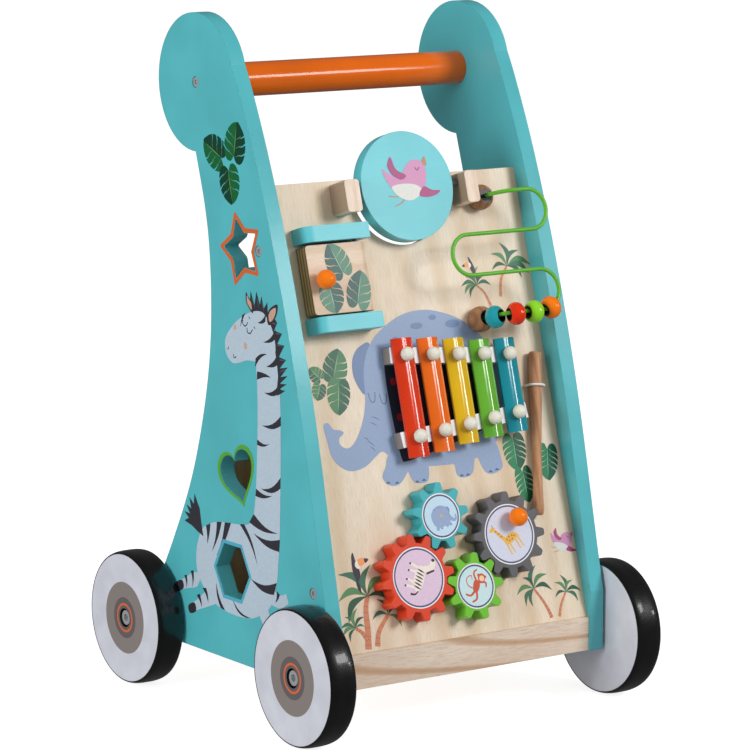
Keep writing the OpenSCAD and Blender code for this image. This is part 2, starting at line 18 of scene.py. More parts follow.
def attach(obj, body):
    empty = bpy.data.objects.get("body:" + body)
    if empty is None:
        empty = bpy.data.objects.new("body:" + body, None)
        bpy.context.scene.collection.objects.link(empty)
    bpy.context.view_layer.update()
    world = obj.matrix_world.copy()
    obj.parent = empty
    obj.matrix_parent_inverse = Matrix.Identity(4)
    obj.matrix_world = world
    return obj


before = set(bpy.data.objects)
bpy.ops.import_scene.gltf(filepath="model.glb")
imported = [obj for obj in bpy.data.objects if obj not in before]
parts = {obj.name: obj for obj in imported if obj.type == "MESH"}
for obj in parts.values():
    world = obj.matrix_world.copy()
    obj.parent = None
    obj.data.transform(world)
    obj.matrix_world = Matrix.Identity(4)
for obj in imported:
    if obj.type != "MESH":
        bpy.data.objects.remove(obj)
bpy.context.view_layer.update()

# %% [markdown]
# ## Where things are
#
# Lengths below are written in millimetres, as on a drawing, and turned into metres once.
# The panel leans back by 16 degrees, so it gets its own flat coordinates: x across, s up the slope,
# and w out of its face. Drawing on it is then as easy as drawing on paper.
# The faces of the door, the disc and the gears all stand 13 mm proud of the panel, the outer faces of
# the side boards are 122 mm from the middle, and every print lies 0.15 mm above its surface.

# %% The panel's own coordinates
MM = 0.001
PRINT_LIFT = 0.15
BOARD_FACE = 122.0
GAME_FACE = 13.0
PANEL_LEAN = math.radians(16.08)
PANEL_ORIGIN = Vector((0, -65.28, 250)) * MM
SLOPE_UP = Vector((0, math.sin(PANEL_LEAN), math.cos(PANEL_LEAN)))
SLOPE_OUT = Vector((0, -math.cos(PANEL_LEAN), math.sin(PANEL_LEAN)))


def on_panel(x, s, w=0.0):
    """The point at x across, s up the slope and w out of the panel's face."""
    return PANEL_ORIGIN + Vector((x * MM, 0, 0)) + SLOPE_UP * (s * MM) + SLOPE_OUT * (w * MM)


print("foot of the panel:", tuple(round(v, 4) for v in on_panel(0, -196)))

# %% [markdown]
# ## Helpers for materials
#
# Colours are chosen as hex codes, the way a paint card or a web page gives them. Those numbers are
# bent for screens, so one function straightens them to the linear values that light needs.
# Another adds one node, and each of its sockets gets either a plain value or a link. The last three
# are the steps that every finish below has in common: it starts with one shader, lays one colour over
# another where a pattern is strong, and ends with roughness, bump and soft edges.


# %% Colour and node helpers
def linear(code):
    """A hex colour as the linear red, green, blue and alpha that shaders work in."""
    shares = [int(code[i:i + 2], 16) / 255 for i in (1, 3, 5)]
    straight = [c / 12.92 if c <= 0.04045 else ((c + 0.055) / 1.055) ** 2.4 for c in shares]
    return (*straight, 1.0)


def times(colour, factor):
    """A linear colour made darker or lighter by a factor."""
    return tuple(min(1.0, c * factor) for c in colour[:3]) + (1.0,)


def add(tree, kind, sockets=None, **properties):
    """Adds one node, sets its properties, and gives each socket a value or a link."""
    made = tree.nodes.new("ShaderNode" + kind)
    for name, value in properties.items():
        setattr(made, name, value)
    for socket, value in (sockets or {}).items():
        if isinstance(value, bpy.types.Node):
            value = next(output for output in value.outputs if output.enabled)
        if isinstance(value, bpy.types.NodeSocket):
            tree.links.new(value, made.inputs[socket])
        else:
            made.inputs[socket].default_value = value
    return made


def start_material(name, **sockets):
    """A new material with one principled shader, and the shader's constant sockets set."""
    material = bpy.data.materials.new(name)
    material.use_nodes = True
    tree = material.node_tree
    tree.nodes.clear()
    values = {key.replace("_", " ").title().replace("Ior", "IOR"): value
              for key, value in sockets.items()}
    shader = add(tree, "BsdfPrincipled", values)
    add(tree, "OutputMaterial", {"Surface": shader})
    return material, tree, shader


def lay_over(tree, base, over, pattern, low, high, share=1.0):
    """One colour over another, where a pattern rises from low to high, up to a share of it."""
    amount = add(tree, "MapRange", {0: pattern, 1: low, 2: high, 3: 0.0, 4: share})
    return add(tree, "Mix", {0: amount, 6: base, 7: over}, data_type="RGBA")


def finish_surface(tree, shader, colour, pattern, smooth, rough, strength, depth_mm, round_mm=0.0):
    """Joins the colour, and lets one fine pattern vary the roughness and raise a bump."""
    roughness = add(tree, "MapRange", {0: pattern, 1: 0.3, 2: 0.7, 3: smooth, 4: rough})
    bump = add(tree, "Bump", {"Strength": strength, "Distance": depth_mm * MM, "Height": pattern})
    if round_mm:
        edge = add(tree, "Bevel", {"Radius": round_mm * MM}, samples=4)
        tree.links.new(edge.outputs[0], bump.inputs["Normal"])
    tree.links.new(colour.outputs[2], shader.inputs["Base Color"])
    tree.links.new(roughness.outputs[0], shader.inputs["Roughness"])
    tree.links.new(bump.outputs[0], shader.inputs["Normal"])


print("white is", linear("#ffffff"))

# %% [markdown]
# ## Grain coordinates
#
# Wood has a direction. Every wooden piece here asks for its grain in the same way: one axis across
# the grain, one along it, and one through the thickness. The pattern is then squeezed along the
# grain, so that round noise becomes long fibres.


# %% Coordinates that follow the grain
def grain_coordinates(tree, axes="XYZ", on_slope=False):
    """The object's own coordinates in metres, ordered as across, along and through the board."""
    place = add(tree, "TexCoord").outputs["Object"]
    if on_slope:
        place = add(tree, "Mapping", {0: place, 1: PANEL_ORIGIN, 2: (math.pi / 2 - PANEL_LEAN, 0, 0)},
                    vector_type="TEXTURE")
    split = add(tree, "SeparateXYZ", {0: place})
    return add(tree, "CombineXYZ", {i: split.outputs["XYZ".index(axis)] for i, axis in enumerate(axes)})


def fibres(tree, place, width_mm, length_mm):
    """Long thin streaks of noise, one fibre about width_mm wide and length_mm long."""
    wide, long = 1 / (width_mm * MM), 1 / (length_mm * MM)
    where = add(tree, "VectorMath", {0: place, 1: (wide, long, wide)}, operation="MULTIPLY")
    return add(tree, "TexNoise", {"Vector": where, "Scale": 1.0, "Detail": 3.0, "Roughness": 0.6})


# %% [markdown]
# ## End grain and painted shade
#
# Where a rail or a block is cut across its fibres, the open ends drink the finish and turn dark.
# The colour laid on them is darker than end grain alone, so it is also painted shade on those faces.
# The direction that a face looks in is enough to find the ends, which look along x here, and the cut
# edges of plywood.


# %% Faces that look one way
def squareness(tree, direction):
    """How squarely a face looks along a direction, from 0 for edge-on to 1 for head-on."""
    normal = add(tree, "TexCoord").outputs["Normal"]
    facing = add(tree, "VectorMath", {0: normal, 1: direction}, operation="DOT_PRODUCT")
    return add(tree, "Math", {0: facing}, operation="ABSOLUTE")


def with_end_grain_and_shade(tree, colour, code):
    """Lays the colour of end grain, darkened further as painted shade, over the faces that look along
    x.
    """
    return lay_over(tree, colour, linear(code), squareness(tree, (1, 0, 0)), 0.75, 0.9, 0.85)


print("grain and end grain helpers ready")

# %% [markdown]
# ## Clear-lacquered wood
#
# The activity panel, the bin and the door are birch plywood, and the rails are pine. Both are pale
# and only sealed with a thin clear lacquer. A flat board is a slice through the tree's rings, so its
# growth bands form long nested arches. Here they are rings round a heart line that climbs slowly
# through the board, bent by noise. In birch they are broad and weak, in pine thin and tan.
# Plywood also shows its glued layers on every cut edge, about 1.4 mm each.


# %% Birch plywood and pine
HEART_RISE = 0.12
HEART_DEPTH = 12


def clear_wood(name, pale, dark, axes, heart, band_mm, line=0.4, share=0.5, on_slope=False,
               ply_normal=None, layer_mm=1.45, smooth=0.36, end_grain_and_shade=None):
    """Wood under clear lacquer. The arches spread from the heart point, in millimetres."""
    material, tree, shader = start_material(name, coat_weight=0.2, coat_roughness=0.25, ior=1.5)
    pale, dark = linear(pale), linear(dark)
    place = grain_coordinates(tree, axes, on_slope)
    middle = (-heart[0] * MM, -heart[1] * HEART_RISE * MM, HEART_DEPTH * MM)
    rings = add(tree, "VectorMath", {0: place, 1: (1.0, HEART_RISE, 0.5), 2: middle},
                operation="MULTIPLY_ADD")
    bands = add(tree, "TexWave",
                {"Vector": rings, "Scale": math.tau / (20 * band_mm * MM), "Distortion": 3.4,
                 "Detail": 2.0, "Detail Scale": 0.16, "Detail Roughness": 0.6},
                wave_type="RINGS", rings_direction="Z")
    where = add(tree, "VectorMath", {0: place, 1: (24, 4, 24)}, operation="MULTIPLY")
    cloud = add(tree, "TexNoise", {"Vector": where, "Scale": 1.0, "Detail": 2.0})
    fine = fibres(tree, place, 0.5, 11)
    flecks = fibres(tree, place, 0.8, 4)
    colour = lay_over(tree, pale, dark, bands, line, 1.0, share)
    colour = lay_over(tree, colour, dark, cloud, 0.4, 0.75, 0.5)
    colour = lay_over(tree, colour, dark, fine, 0.45, 0.75, 0.6)
    colour = lay_over(tree, colour, times(dark, 0.55), flecks, 0.62, 0.75, 0.4)
    if ply_normal is not None:
        depth = add(tree, "SeparateXYZ", {0: place}).outputs[2]
        count = add(tree, "Math", {0: depth, 1: 0.5 / (layer_mm * MM)}, operation="MULTIPLY")
        spot = add(tree, "Math", {0: count}, operation="FRACT")
        layer = add(tree, "Math", {0: spot, 1: 0.5, 2: 0.25}, operation="COMPARE")
        edge = lay_over(tree, linear("#c39a66"), linear("#8a6238"), layer, 0.0, 1.0)
        colour = lay_over(tree, edge, colour, squareness(tree, ply_normal), 0.3, 0.5)
    # End grain darkened further with painted shade, on the faces that look along x.
    if end_grain_and_shade:
        colour = with_end_grain_and_shade(tree, colour, end_grain_and_shade)
    finish_surface(tree, shader, colour, fine, smooth, smooth + 0.16, 0.35, 0.12, 0.7)
    return material


panel_birch = clear_wood("panel_birch_plywood", "#eedfca", "#cfae86", "XYZ", (-58, -260), 26,
                         0.35, 0.42, on_slope=True, ply_normal=SLOPE_OUT)
bin_birch = clear_wood("bin_birch_plywood", "#d9bd95", "#b58f62", "XZY", (20, -80), 20)
door_birch = clear_wood("door_birch_plywood", "#e6d3bd", "#cba885", "YXZ", (52, -40), 15,
                        on_slope=True, ply_normal=SLOPE_OUT, layer_mm=1.7)
rail_pine = clear_wood("rail_pine", "#ecdccb", "#bd9168", "ZXY", (66, 150), 14, 0.8, 0.75)
# The blocks' side faces get end grain darkened further with painted shade.
block_beech = clear_wood("block_beech", "#ecd8c6", "#cbab8c", "XYZ", (0, 0), 9, 0.4, 0.4,
                         on_slope=True, end_grain_and_shade="#8d745c")
print("clear woods:", panel_birch.name, rail_pine.name, block_beech.name)

# %% [markdown]
# ## Brown turned wood
#
# The two round posts of the bead maze and the mallet are turned on a lathe from a darker hardwood and
# only waxed. They show long reddish brown fibres and almost no shine.

# %% Waxed hardwood
post_wood = clear_wood("waxed_hardwood_post", "#b07f56", "#7d4f30", "XZY", (58, 0), 5, 0.4, 0.6,
                       on_slope=True, smooth=0.5)
mallet_wood = clear_wood("waxed_hardwood_mallet", "#c8966f", "#9c6844", "XYZ", (60, 0), 5, 0.4, 0.6,
                         on_slope=True, smooth=0.45)
print("brown woods:", post_wood.name, mallet_wood.name)

# %% [markdown]
# ## Coloured lacquer on wood
#
# The side boards, disc, rails, knobs, beads and gears are sprayed with coloured lacquer. It hides the
# wood's colour, but a thin coat still sinks a little into the grain. Large boards are satin, while
# beads and knobs are dipped and glossy. So there is one recipe with a gloss setting: an even colour
# that drifts by a few percent, faint fibres as bump, and a clear coat that grows with the gloss.


# %% Satin and gloss lacquer
def lacquered_wood(name, code, axes="XZY", gloss=0.3, on_slope=False, grain=0.25, round_mm=0.8,
                   drift=0.05, end_grain_and_shade=None):
    """Opaque lacquer on wood, from satin at gloss 0 to dipped and shiny at gloss 1."""
    material, tree, shader = start_material(
        name, ior=1.5, specular_ior_level=0.5 - 0.35 * gloss, coat_weight=0.15 + 0.7 * gloss,
        coat_roughness=0.26 - 0.22 * gloss)
    place = grain_coordinates(tree, axes, on_slope)
    fine = fibres(tree, place, 0.8, 22)
    cloud = add(tree, "TexNoise", {"Vector": place, "Scale": 22.0, "Detail": 2.0})
    deep, light = times(linear(code), 1 - 1.5 * drift), times(linear(code), 1 + drift)
    colour = lay_over(tree, deep, light, cloud, 0.3, 0.7)
    colour = lay_over(tree, colour, deep, fine, 0.52, 0.8, 0.5)
    # End grain darkened further with painted shade, on the faces that look along x.
    if end_grain_and_shade:
        colour = with_end_grain_and_shade(tree, colour, end_grain_and_shade)
    smooth = 0.42 - 0.26 * gloss
    finish_surface(tree, shader, colour, fine, smooth, smooth + 0.1, grain, 0.1, round_mm)
    return material


side_teal = lacquered_wood("satin_teal_lacquer", "#53b5bd", "YZX", 0.4)
block_teal = lacquered_wood("satin_teal_lacquer_slope", "#5fc2cc", "YXZ", 0.2, on_slope=True)
handle_orange = lacquered_wood("gloss_orange_lacquer", "#e8690b", "ZXY", 0.85)
knob_orange = lacquered_wood("dipped_orange_lacquer", "#f3780c", gloss=0.8, grain=0.08)
bead_red = lacquered_wood("dipped_red_lacquer", "#df300d", gloss=1.0, grain=0.05)
bead_lime = lacquered_wood("dipped_lime_lacquer", "#8ed42c", gloss=1.0, grain=0.05)
bead_teal = lacquered_wood("dipped_teal_lacquer", "#1f98a3", gloss=1.0, grain=0.05)
gear_teal = lacquered_wood("gear_teal_lacquer", "#37a9b0", gloss=0.35, on_slope=True, grain=0.15)
gear_red = lacquered_wood("gear_red_lacquer", "#d93f1b", gloss=0.35, on_slope=True, grain=0.15)
gear_green = lacquered_wood("gear_green_lacquer", "#6cbf2a", gloss=0.35, on_slope=True, grain=0.15)
gear_grey = lacquered_wood("gear_grey_lacquer", "#5d5c60", gloss=0.3, on_slope=True, grain=0.15)
# The rails' cut ends get bare end grain darkened further with painted shade.
rail_white = lacquered_wood("xylophone_white_lacquer", "#eeeef1", "YXZ", 0.2, on_slope=True,
                            drift=0.02, end_grain_and_shade="#8a7868")
print("lacquers:", side_teal.name, handle_orange.name, gear_grey.name)

# %% [markdown]
# ## Enamelled tone bars
#
# Each bar is an arched steel strip with baked enamel, very smooth and glossy. The arch bends the
# studio light into one thin bright line down the middle, which is what makes it read as metal.
# Enamel is a glassy coat, so a strong clear coat sits over a coloured base, with a very faint
# orange-peel bump about 1.5 mm across.


# %% Baked enamel
def baked_enamel(name, code):
    """Glossy coloured enamel on sheet steel."""
    material, tree, shader = start_material(
        name, ior=1.52, specular_ior_level=0.15, coat_weight=1.0, coat_roughness=0.07, coat_ior=1.6)
    place = grain_coordinates(tree, "XYZ", True)
    peel = add(tree, "TexNoise", {"Vector": place, "Scale": 650.0, "Detail": 1.0})
    patch = add(tree, "TexNoise", {"Vector": place, "Scale": 35.0, "Detail": 2.0})
    colour = lay_over(tree, times(linear(code), 0.88), linear(code), patch, 0.3, 0.7)
    finish_surface(tree, shader, colour, peel, 0.26, 0.34, 0.01, 0.02, 0.35)
    return material


bar_enamels = {
    "tone_bar_red": baked_enamel("enamel_red", "#dd370b"),
    "tone_bar_orange": baked_enamel("enamel_orange", "#ec6a12"),
    "tone_bar_yellow": baked_enamel("enamel_yellow", "#dfb315"),
    "tone_bar_green": baked_enamel("enamel_green", "#66ae30"),
    "tone_bar_teal": baked_enamel("enamel_teal", "#128a99"),
}
print("enamels:", sorted(bar_enamels))

# %% [markdown]
# ## Metal and moulded plastic
#
# The screws, bolts, washers and gear pins are zinc-plated steel: bright metal under a cloudy, slightly
# blue-grey skin of zinc, with fine scratches from the drive tool. The maze wire is steel dipped in
# soft green vinyl. The bead liners and wire collars are black ABS, and the tone bar pins are cream
# ABS with a frosted skin.


# %% Zinc-plated steel
def zinc_plated_steel(name, code):
    """Plated steel with fine random scratches, drawn 0.3 mm wide so that they show."""
    material, tree, shader = start_material(name, metallic=0.45, ior=1.8)
    place = add(tree, "TexCoord").outputs["Object"]
    where = add(tree, "VectorMath", {0: place, 1: (900, 3200, 3200)}, operation="MULTIPLY")
    scratch = add(tree, "TexNoise", {"Vector": where, "Scale": 1.0, "Detail": 4.0})
    colour = lay_over(tree, linear(code), times(linear(code), 0.6), scratch, 0.35, 0.65)
    finish_surface(tree, shader, colour, scratch, 0.22, 0.42, 0.1, 0.03, 0.25)
    return material


# %% Moulded plastic
def moulded_plastic(name, code, smooth, speckle_mm=0.6, bump=0.08, coat=0.0):
    """Moulded or dipped plastic with a fine skin texture."""
    material, tree, shader = start_material(name, ior=1.49, coat_weight=coat, coat_roughness=0.08)
    place = add(tree, "TexCoord").outputs["Object"]
    skin = add(tree, "TexNoise", {"Vector": place, "Scale": 1 / (speckle_mm * MM), "Detail": 2.0})
    colour = lay_over(tree, times(linear(code), 0.85), linear(code), skin, 0.35, 0.65)
    finish_surface(tree, shader, colour, skin, smooth, smooth + 0.1, bump, 0.05, 0.3)
    return material


screw_steel = zinc_plated_steel("zinc_plated_steel", "#d3d6da")
axle_steel = zinc_plated_steel("dark_steel_axle", "#8b8e92")
wire_vinyl = moulded_plastic("green_vinyl_dip", "#62b52e", 0.28, 1.2, 0.05, 0.3)
liner_abs = moulded_plastic("black_abs", "#080809", 0.22, coat=0.15)
pin_abs = moulded_plastic("cream_frosted_abs", "#e9e7d8", 0.38, 0.8, 0.35, 0.2)
loop_elastic = moulded_plastic("white_braided_elastic", "#eceae6", 0.7, 0.7, 0.8)
print("metal and plastic:", screw_steel.name, liner_abs.name, pin_abs.name)

# %% [markdown]
# ## Wheels
#
# A wheel is a round of fibreboard, lacquered pale grey and screen printed with rings on its outer
# face, inside a smooth black rubber tyre. The rings are drawn by distance from the hub, so the
# picture is exact at any size. The near-black disc in the middle is painted shade, for the recess
# round the bolt head. Rubber is nearly black, but its skin still gives a clear highlight.


# %% Printed wheel face and rubber tyre
HUB_HEIGHT = 50
HUB_REACH = 112.8
WHEEL_MIDDLE = 135.1
FACE_EDGE, RING_EDGE = 0.1, 0.12


def wheel_face(name, hub_y):
    """Pale lacquer with printed rings round the hub and painted shade at its middle, on the outer half
    of the wheel only.
    """
    material, tree, shader = start_material(name, ior=1.5, coat_weight=0.2, coat_roughness=0.2)
    place = add(tree, "TexCoord").outputs["Object"]
    flat = add(tree, "VectorMath", {0: place, 1: (0, 1, 1), 2: (0, -hub_y * MM, -HUB_HEIGHT * MM)},
               operation="MULTIPLY_ADD")
    radius = add(tree, "VectorMath", {0: flat}, operation="LENGTH")
    sideways = add(tree, "Math", {0: add(tree, "SeparateXYZ", {0: place}).outputs[0]},
                   operation="ABSOLUTE")
    inner_half = add(tree, "MapRange", {0: sideways, 1: (WHEEL_MIDDLE + FACE_EDGE) * MM,
                                        2: (WHEEL_MIDDLE - FACE_EDGE) * MM, 3: 0.0, 4: 1.0})
    ring_radius = add(tree, "Math", {0: radius, 1: inner_half}, operation="ADD")
    cloud = add(tree, "TexNoise", {"Vector": place, "Scale": 60.0, "Detail": 3.0})
    colour = lay_over(tree, linear("#c6c8d2"), linear("#d2d4de"), cloud, 0.3, 0.7)
    # The last entry, a near-black disc inside 7.2 mm, is painted shade for the recess round the bolt
    # head; the others are printed rings.
    for ring_and_shade_mm, code in ((27.0, "#857c78"), (15.4, "#635d60"), (11.0, "#d9662c"),
                          (9.4, "#635d60"), (7.2, "#222226")):
        colour = lay_over(tree, colour, linear(code), ring_radius,
                          (ring_and_shade_mm + RING_EDGE) * MM, (ring_and_shade_mm - RING_EDGE) * MM)
    finish_surface(tree, shader, colour, cloud, 0.34, 0.46, 0.05, 0.1, 0.4)
    return material


def tyre_rubber():
    """Smooth moulded rubber with a little bloom."""
    material, tree, shader = start_material(
        "smooth_black_rubber", ior=1.52, coat_weight=0.45, coat_roughness=0.08)
    place = add(tree, "TexCoord").outputs["Object"]
    bloom = add(tree, "TexNoise", {"Vector": place, "Scale": 70.0, "Detail": 4.0})
    skin = add(tree, "TexNoise", {"Vector": place, "Scale": 1800.0, "Detail": 2.0})
    colour = lay_over(tree, linear("#050506"), linear("#0f0f11"), bloom, 0.35, 0.75)
    finish_surface(tree, shader, colour, skin, 0.24, 0.4, 0.06, 0.05, 0.6)
    return material


front_wheel_face = wheel_face("printed_wheel_face_and_painted_shade_front", -HUB_REACH)
rear_wheel_face = wheel_face("printed_wheel_face_and_painted_shade_rear", HUB_REACH)
black_rubber = tyre_rubber()
print("wheel finishes:", front_wheel_face.name, black_rubber.name)

# %% [markdown]
# ## Give every solid part its finish
#
# One table says which finish each part wears. A part keeps its own mesh, and only its material slot
# changes.

# %% The table of finishes
wearers = (
    (side_teal, "side_panel_left side_panel_right"), (panel_birch, "front_panel"),
    (bin_birch, "back_panel base_board"), (rail_pine, "front_rail rear_rail"),
    (handle_orange, "handle_bar"), (block_beech, "disc_block_left disc_block_right"),
    (screw_steel, "handle_screws panel_screws gear_pins wheel_bolts wheel_washers"),
    (axle_steel, "disc_axle door_pins"), (door_birch, "door"),
    (block_teal, "spinner_disc door_rail_top door_rail_bottom"),
    (knob_orange, "door_knob bead_orange gear_crank_knob"),
    (post_wood, "maze_base_upper maze_base_lower"),
    (liner_abs, "maze_plugs liner_orange liner_lime liner_red liner_teal"),
    (wire_vinyl, "maze_wire"), (bead_lime, "bead_lime"), (bead_red, "bead_red"),
    (bead_teal, "bead_teal"), (rail_white, "xylo_rail_top xylo_rail_bottom"),
    (pin_abs, "tone_bar_pins"), (mallet_wood, "mallet"), (loop_elastic, "mallet_loop"),
    (gear_teal, "gear_teal"), (gear_red, "gear_red"), (gear_green, "gear_green"),
    (gear_grey, "gear_grey"),
)
finishes = {name: finish for finish, names in wearers for name in names.split()} | bar_enamels
for end, face in (("front", front_wheel_face), ("rear", rear_wheel_face)):
    for side in ("left", "right"):
        finishes[f"wheel_{end}_{side}"] = face
        finishes[f"tyre_{end}_{side}"] = black_rubber
for name, part in parts.items():
    part.data.materials.clear()
    part.data.materials.append(finishes[name])
print("finished parts:", len(finishes), "left over:", sorted(set(parts) - set(finishes)))

# %% [markdown]
# ## Printed pictures
#
# The animals, leaves and palms are screen printed. Ink is a very thin film, so a picture here is one
# flat mesh, 0.15 mm above the wood. It is drawn as a stack of outlines, each with an ink, and a later
# outline covers an earlier one. A triangulation that keeps every outline as an edge cuts the stack
# into triangles, and each triangle takes the last ink that covers its middle. An ink of None leaves
# a window, so a picture can go round a hole in the board.


# %% Ink and the picture maker
inks = {}


def ink(code):
    """Screen printing ink: flat colour with the faint unevenness that the mesh leaves."""
    if code not in inks:
        material, tree, shader = start_material("screen_ink_" + code[1:], ior=1.48,
                                                coat_weight=0.15, coat_roughness=0.3)
        place = add(tree, "TexCoord").outputs["Object"]
        weave = add(tree, "TexNoise", {"Vector": place, "Scale": 700.0, "Detail": 2.0})
        colour = lay_over(tree, times(linear(code), 0.95), times(linear(code), 1.03), weave, 0.35, 0.65)
        finish_surface(tree, shader, colour, weave, 0.36, 0.46, 0.06, 0.03)
        inks[code] = material
    return inks[code]


def covered(points, loop):
    """For each point, whether it lies inside the loop."""
    loop = np.array(loop, float)
    ahead = np.roll(loop, -1, axis=0)
    x, y = points[:, :1], points[:, 1:]
    crosses = (loop[:, 1] > y) != (ahead[:, 1] > y)
    rise = np.where(ahead[:, 1] == loop[:, 1], 1e-12, ahead[:, 1] - loop[:, 1])
    reach = (ahead[:, 0] - loop[:, 0]) * (y - loop[:, 1]) / rise + loop[:, 0]
    return (np.sum(crosses & (x < reach), axis=1) % 2).astype(bool)


def picture(name, shapes, place, outward, body):
    """Makes one flat printed mesh from (colour, outline) pairs, where place lays a point down."""
    points, edges = [], []
    for colour, loop in shapes:
        first = len(points)
        points += [Vector(p) for p in loop]
        edges += [(first + i, first + (i + 1) % len(loop)) for i in range(len(loop))]
    corners, _, faces, *_ = delaunay_2d_cdt(points, edges, [], 0, 1e-4)
    flat = np.array([tuple(c) for c in corners])
    middles = np.array([flat[list(f)].mean(axis=0) for f in faces])
    top = np.full(len(faces), -1)
    for index, (colour, loop) in enumerate(shapes):
        top[covered(middles, loop)] = index
    kept = [(f, shapes[t][0]) for f, t in zip(faces, top) if t >= 0 and shapes[t][0]]
    used = sorted({v for f, colour in kept for v in f})
    number = {v: i for i, v in enumerate(used)}
    mesh = bpy.data.meshes.new(name)
    spots = [place(*flat[v]) for v in used]
    mesh.from_pydata(spots, [], [[number[v] for v in f] for f, colour in kept])
    colours = sorted({colour for f, colour in kept})
    for colour in colours:
        mesh.materials.append(ink(colour))
    for face, (f, colour) in zip(mesh.polygons, kept):
        face.material_index = colours.index(colour)
    if sum((face.normal.dot(outward) for face in mesh.polygons)) < 0:
        mesh.flip_normals()
    made = bpy.data.objects.new(name, mesh)
    bpy.context.scene.collection.objects.link(made)
    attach(made, body)
    print(name, "triangles:", len(kept), "inks:", len(colours))
    return made


# %% [markdown]
# ## A small drawing kit
#
# Soft outlines come from a few corner points and a curve that passes through them. Palm fronds are
# a lens: two arcs between two points. Stripes and slits are a wedge: a bent triangle, pointed at one
# end and broad at the edge it runs out to. Legs and trunks are strokes that can taper.


# %% Curves, lenses, wedges and strokes
def through(a, b, c, d, steps):
    """Points on the smooth line from b towards c, with a and d as its neighbours."""
    spots = []
    for k in range(steps):
        t = k / steps
        spots.append(0.5 * (2 * b + (c - a) * t + (2 * a - 5 * b + 4 * c - d) * t * t
                            + (3 * b - a - 3 * c + d) * t ** 3))
    return spots


def curve(corners, steps=6):
    """A smooth closed outline through the corner points."""
    p = [np.array(c, float) for c in corners]
    loop = []
    for i in range(len(p)):
        loop += through(p[i - 1], p[i], p[(i + 1) % len(p)], p[(i + 2) % len(p)], steps)
    return [tuple(q) for q in loop]


def oval(x, y, across, up, steps=28):
    """An ellipse from its middle and its two half sizes."""
    return [(x + across * math.cos(math.tau * i / steps), y + up * math.sin(math.tau * i / steps))
            for i in range(steps)]


def lens(start, end, left, right, steps=10):
    """The area between two arcs from start to end, bulging by left and right of the line."""
    a, b = np.array(start, float), np.array(end, float)
    side = np.array([-(b - a)[1], (b - a)[0]]) / np.linalg.norm(b - a)
    there = [a + (b - a) * i / steps + side * left * math.sin(math.pi * i / steps)
             for i in range(steps + 1)]
    back = [b + (a - b) * i / steps + side * right * math.sin(math.pi * i / steps)
            for i in range(1, steps)]
    return [tuple(q) for q in there + back]


def wedge(tip, first, second, bend=0.1, steps=6):
    """A bent stripe that is pointed at its tip and broad between its first and second end."""
    tip, first, second = (np.array(p, float) for p in (tip, first, second))
    along = (first + second) / 2 - tip
    side = np.array([-along[1], along[0]]) * bend
    out = [tip + (first - tip) * t / steps + side * math.sin(math.pi * t / steps)
           for t in range(steps + 1)]
    back = [second + (tip - second) * t / steps + side * math.sin(math.pi * t / steps)
            for t in range(steps)]
    return [tuple(q) for q in out + back]


def stroke(corners, start_width, end_width, steps=5):
    """A band along a smooth open line, tapering from one width to the other."""
    p = [np.array(c, float) for c in corners]
    p = [2 * p[0] - p[1], *p, 2 * p[-1] - p[-2]]
    line = []
    for i in range(1, len(p) - 2):
        line += through(*p[i - 1:i + 3], steps)
    line.append(p[-2])
    left, right = [], []
    for i, q in enumerate(line):
        along = line[min(i + 1, len(line) - 1)] - line[max(i - 1, 0)]
        side = np.array([-along[1], along[0]]) / np.linalg.norm(along)
        half = (start_width + (end_width - start_width) * i / (len(line) - 1)) / 2
        left.append(tuple(q + side * half))
        right.append(tuple(q - side * half))
    return left + right[::-1]


def shrunk(loop, share):
    """The same outline made smaller about its own middle."""
    middle = np.mean(np.array(loop, float), axis=0)
    return [tuple(middle + (np.array(p) - middle) * share) for p in loop]


def moved(shapes, scale=1.0, turn=0.0, x=0.0, y=0.0, flip=False):
    """Shapes scaled, turned by degrees and shifted, and mirrored first if flip is true."""
    c, s = math.cos(math.radians(turn)), math.sin(math.radians(turn))
    sign = -1 if flip else 1
    return [(colour, [(x + scale * (sign * u * c - v * s), y + scale * (sign * u * s + v * c))
                      for u, v in loop]) for colour, loop in shapes]


print("an oval of", len(oval(0, 0, 2, 1)), "points and a lens of", len(lens((0, 0), (1, 0), 1, 1)))

# %% [markdown]
# ## Leaves and palms
#
# The leaves are split jungle leaves: a broad heart, darker on one half, with thin slits that run out
# to the edge and pale veins between them. A palm is a bent trunk with rings and a crown of slender
# fronds that all droop. Both take their place and their greens as arguments, so one drawing serves
# every spot.


# %% Split leaves
def split_leaf(base, tip, width, greens, slits=3):
    """A jungle leaf from its stem end to its tip, with open slits on both halves."""
    dark, mid, rib = greens
    base, tip = np.array(base, float), np.array(tip, float)
    along = tip - base
    side = np.array([-along[1], along[0]]) / np.linalg.norm(along) * width / 2

    def at(u, v):
        return tuple(base + along * u + side * v)

    rim = [(0.1, 0.0), (-0.06, 0.32), (-0.04, 0.74), (0.15, 1.02), (0.42, 1.08), (0.7, 0.9),
           (0.91, 0.48)]
    half = [at(u, v) for u, v in rim] + [at(1, 0)]
    other = [at(u, -v) for u, v in rim[::-1]]
    shapes = [(mid, curve(half + other[:-1], 4)), (dark, curve(half + [at(0.5, 0.01)], 4))]
    for k in range(slits):
        u = 0.12 + 0.46 * k / max(1, slits - 1)
        out = 1.25 - 0.45 * u
        for sign in (1, -1):
            vein = lens(at(u - 0.05, 0.04 * sign), at(u + 0.1, (out - 0.45) * sign), 0.16, -0.16, 5)
            slit = wedge(at(u + 0.03, 0.3 * sign), at(u + 0.16, out * sign),
                         at(u + 0.225, out * sign), 0.1 * sign)
            shapes += [(rib, vein), (None, slit)]
    shapes.append((rib, lens(at(0.04, 0), at(0.92, 0), 0.32, -0.32)))
    return shapes


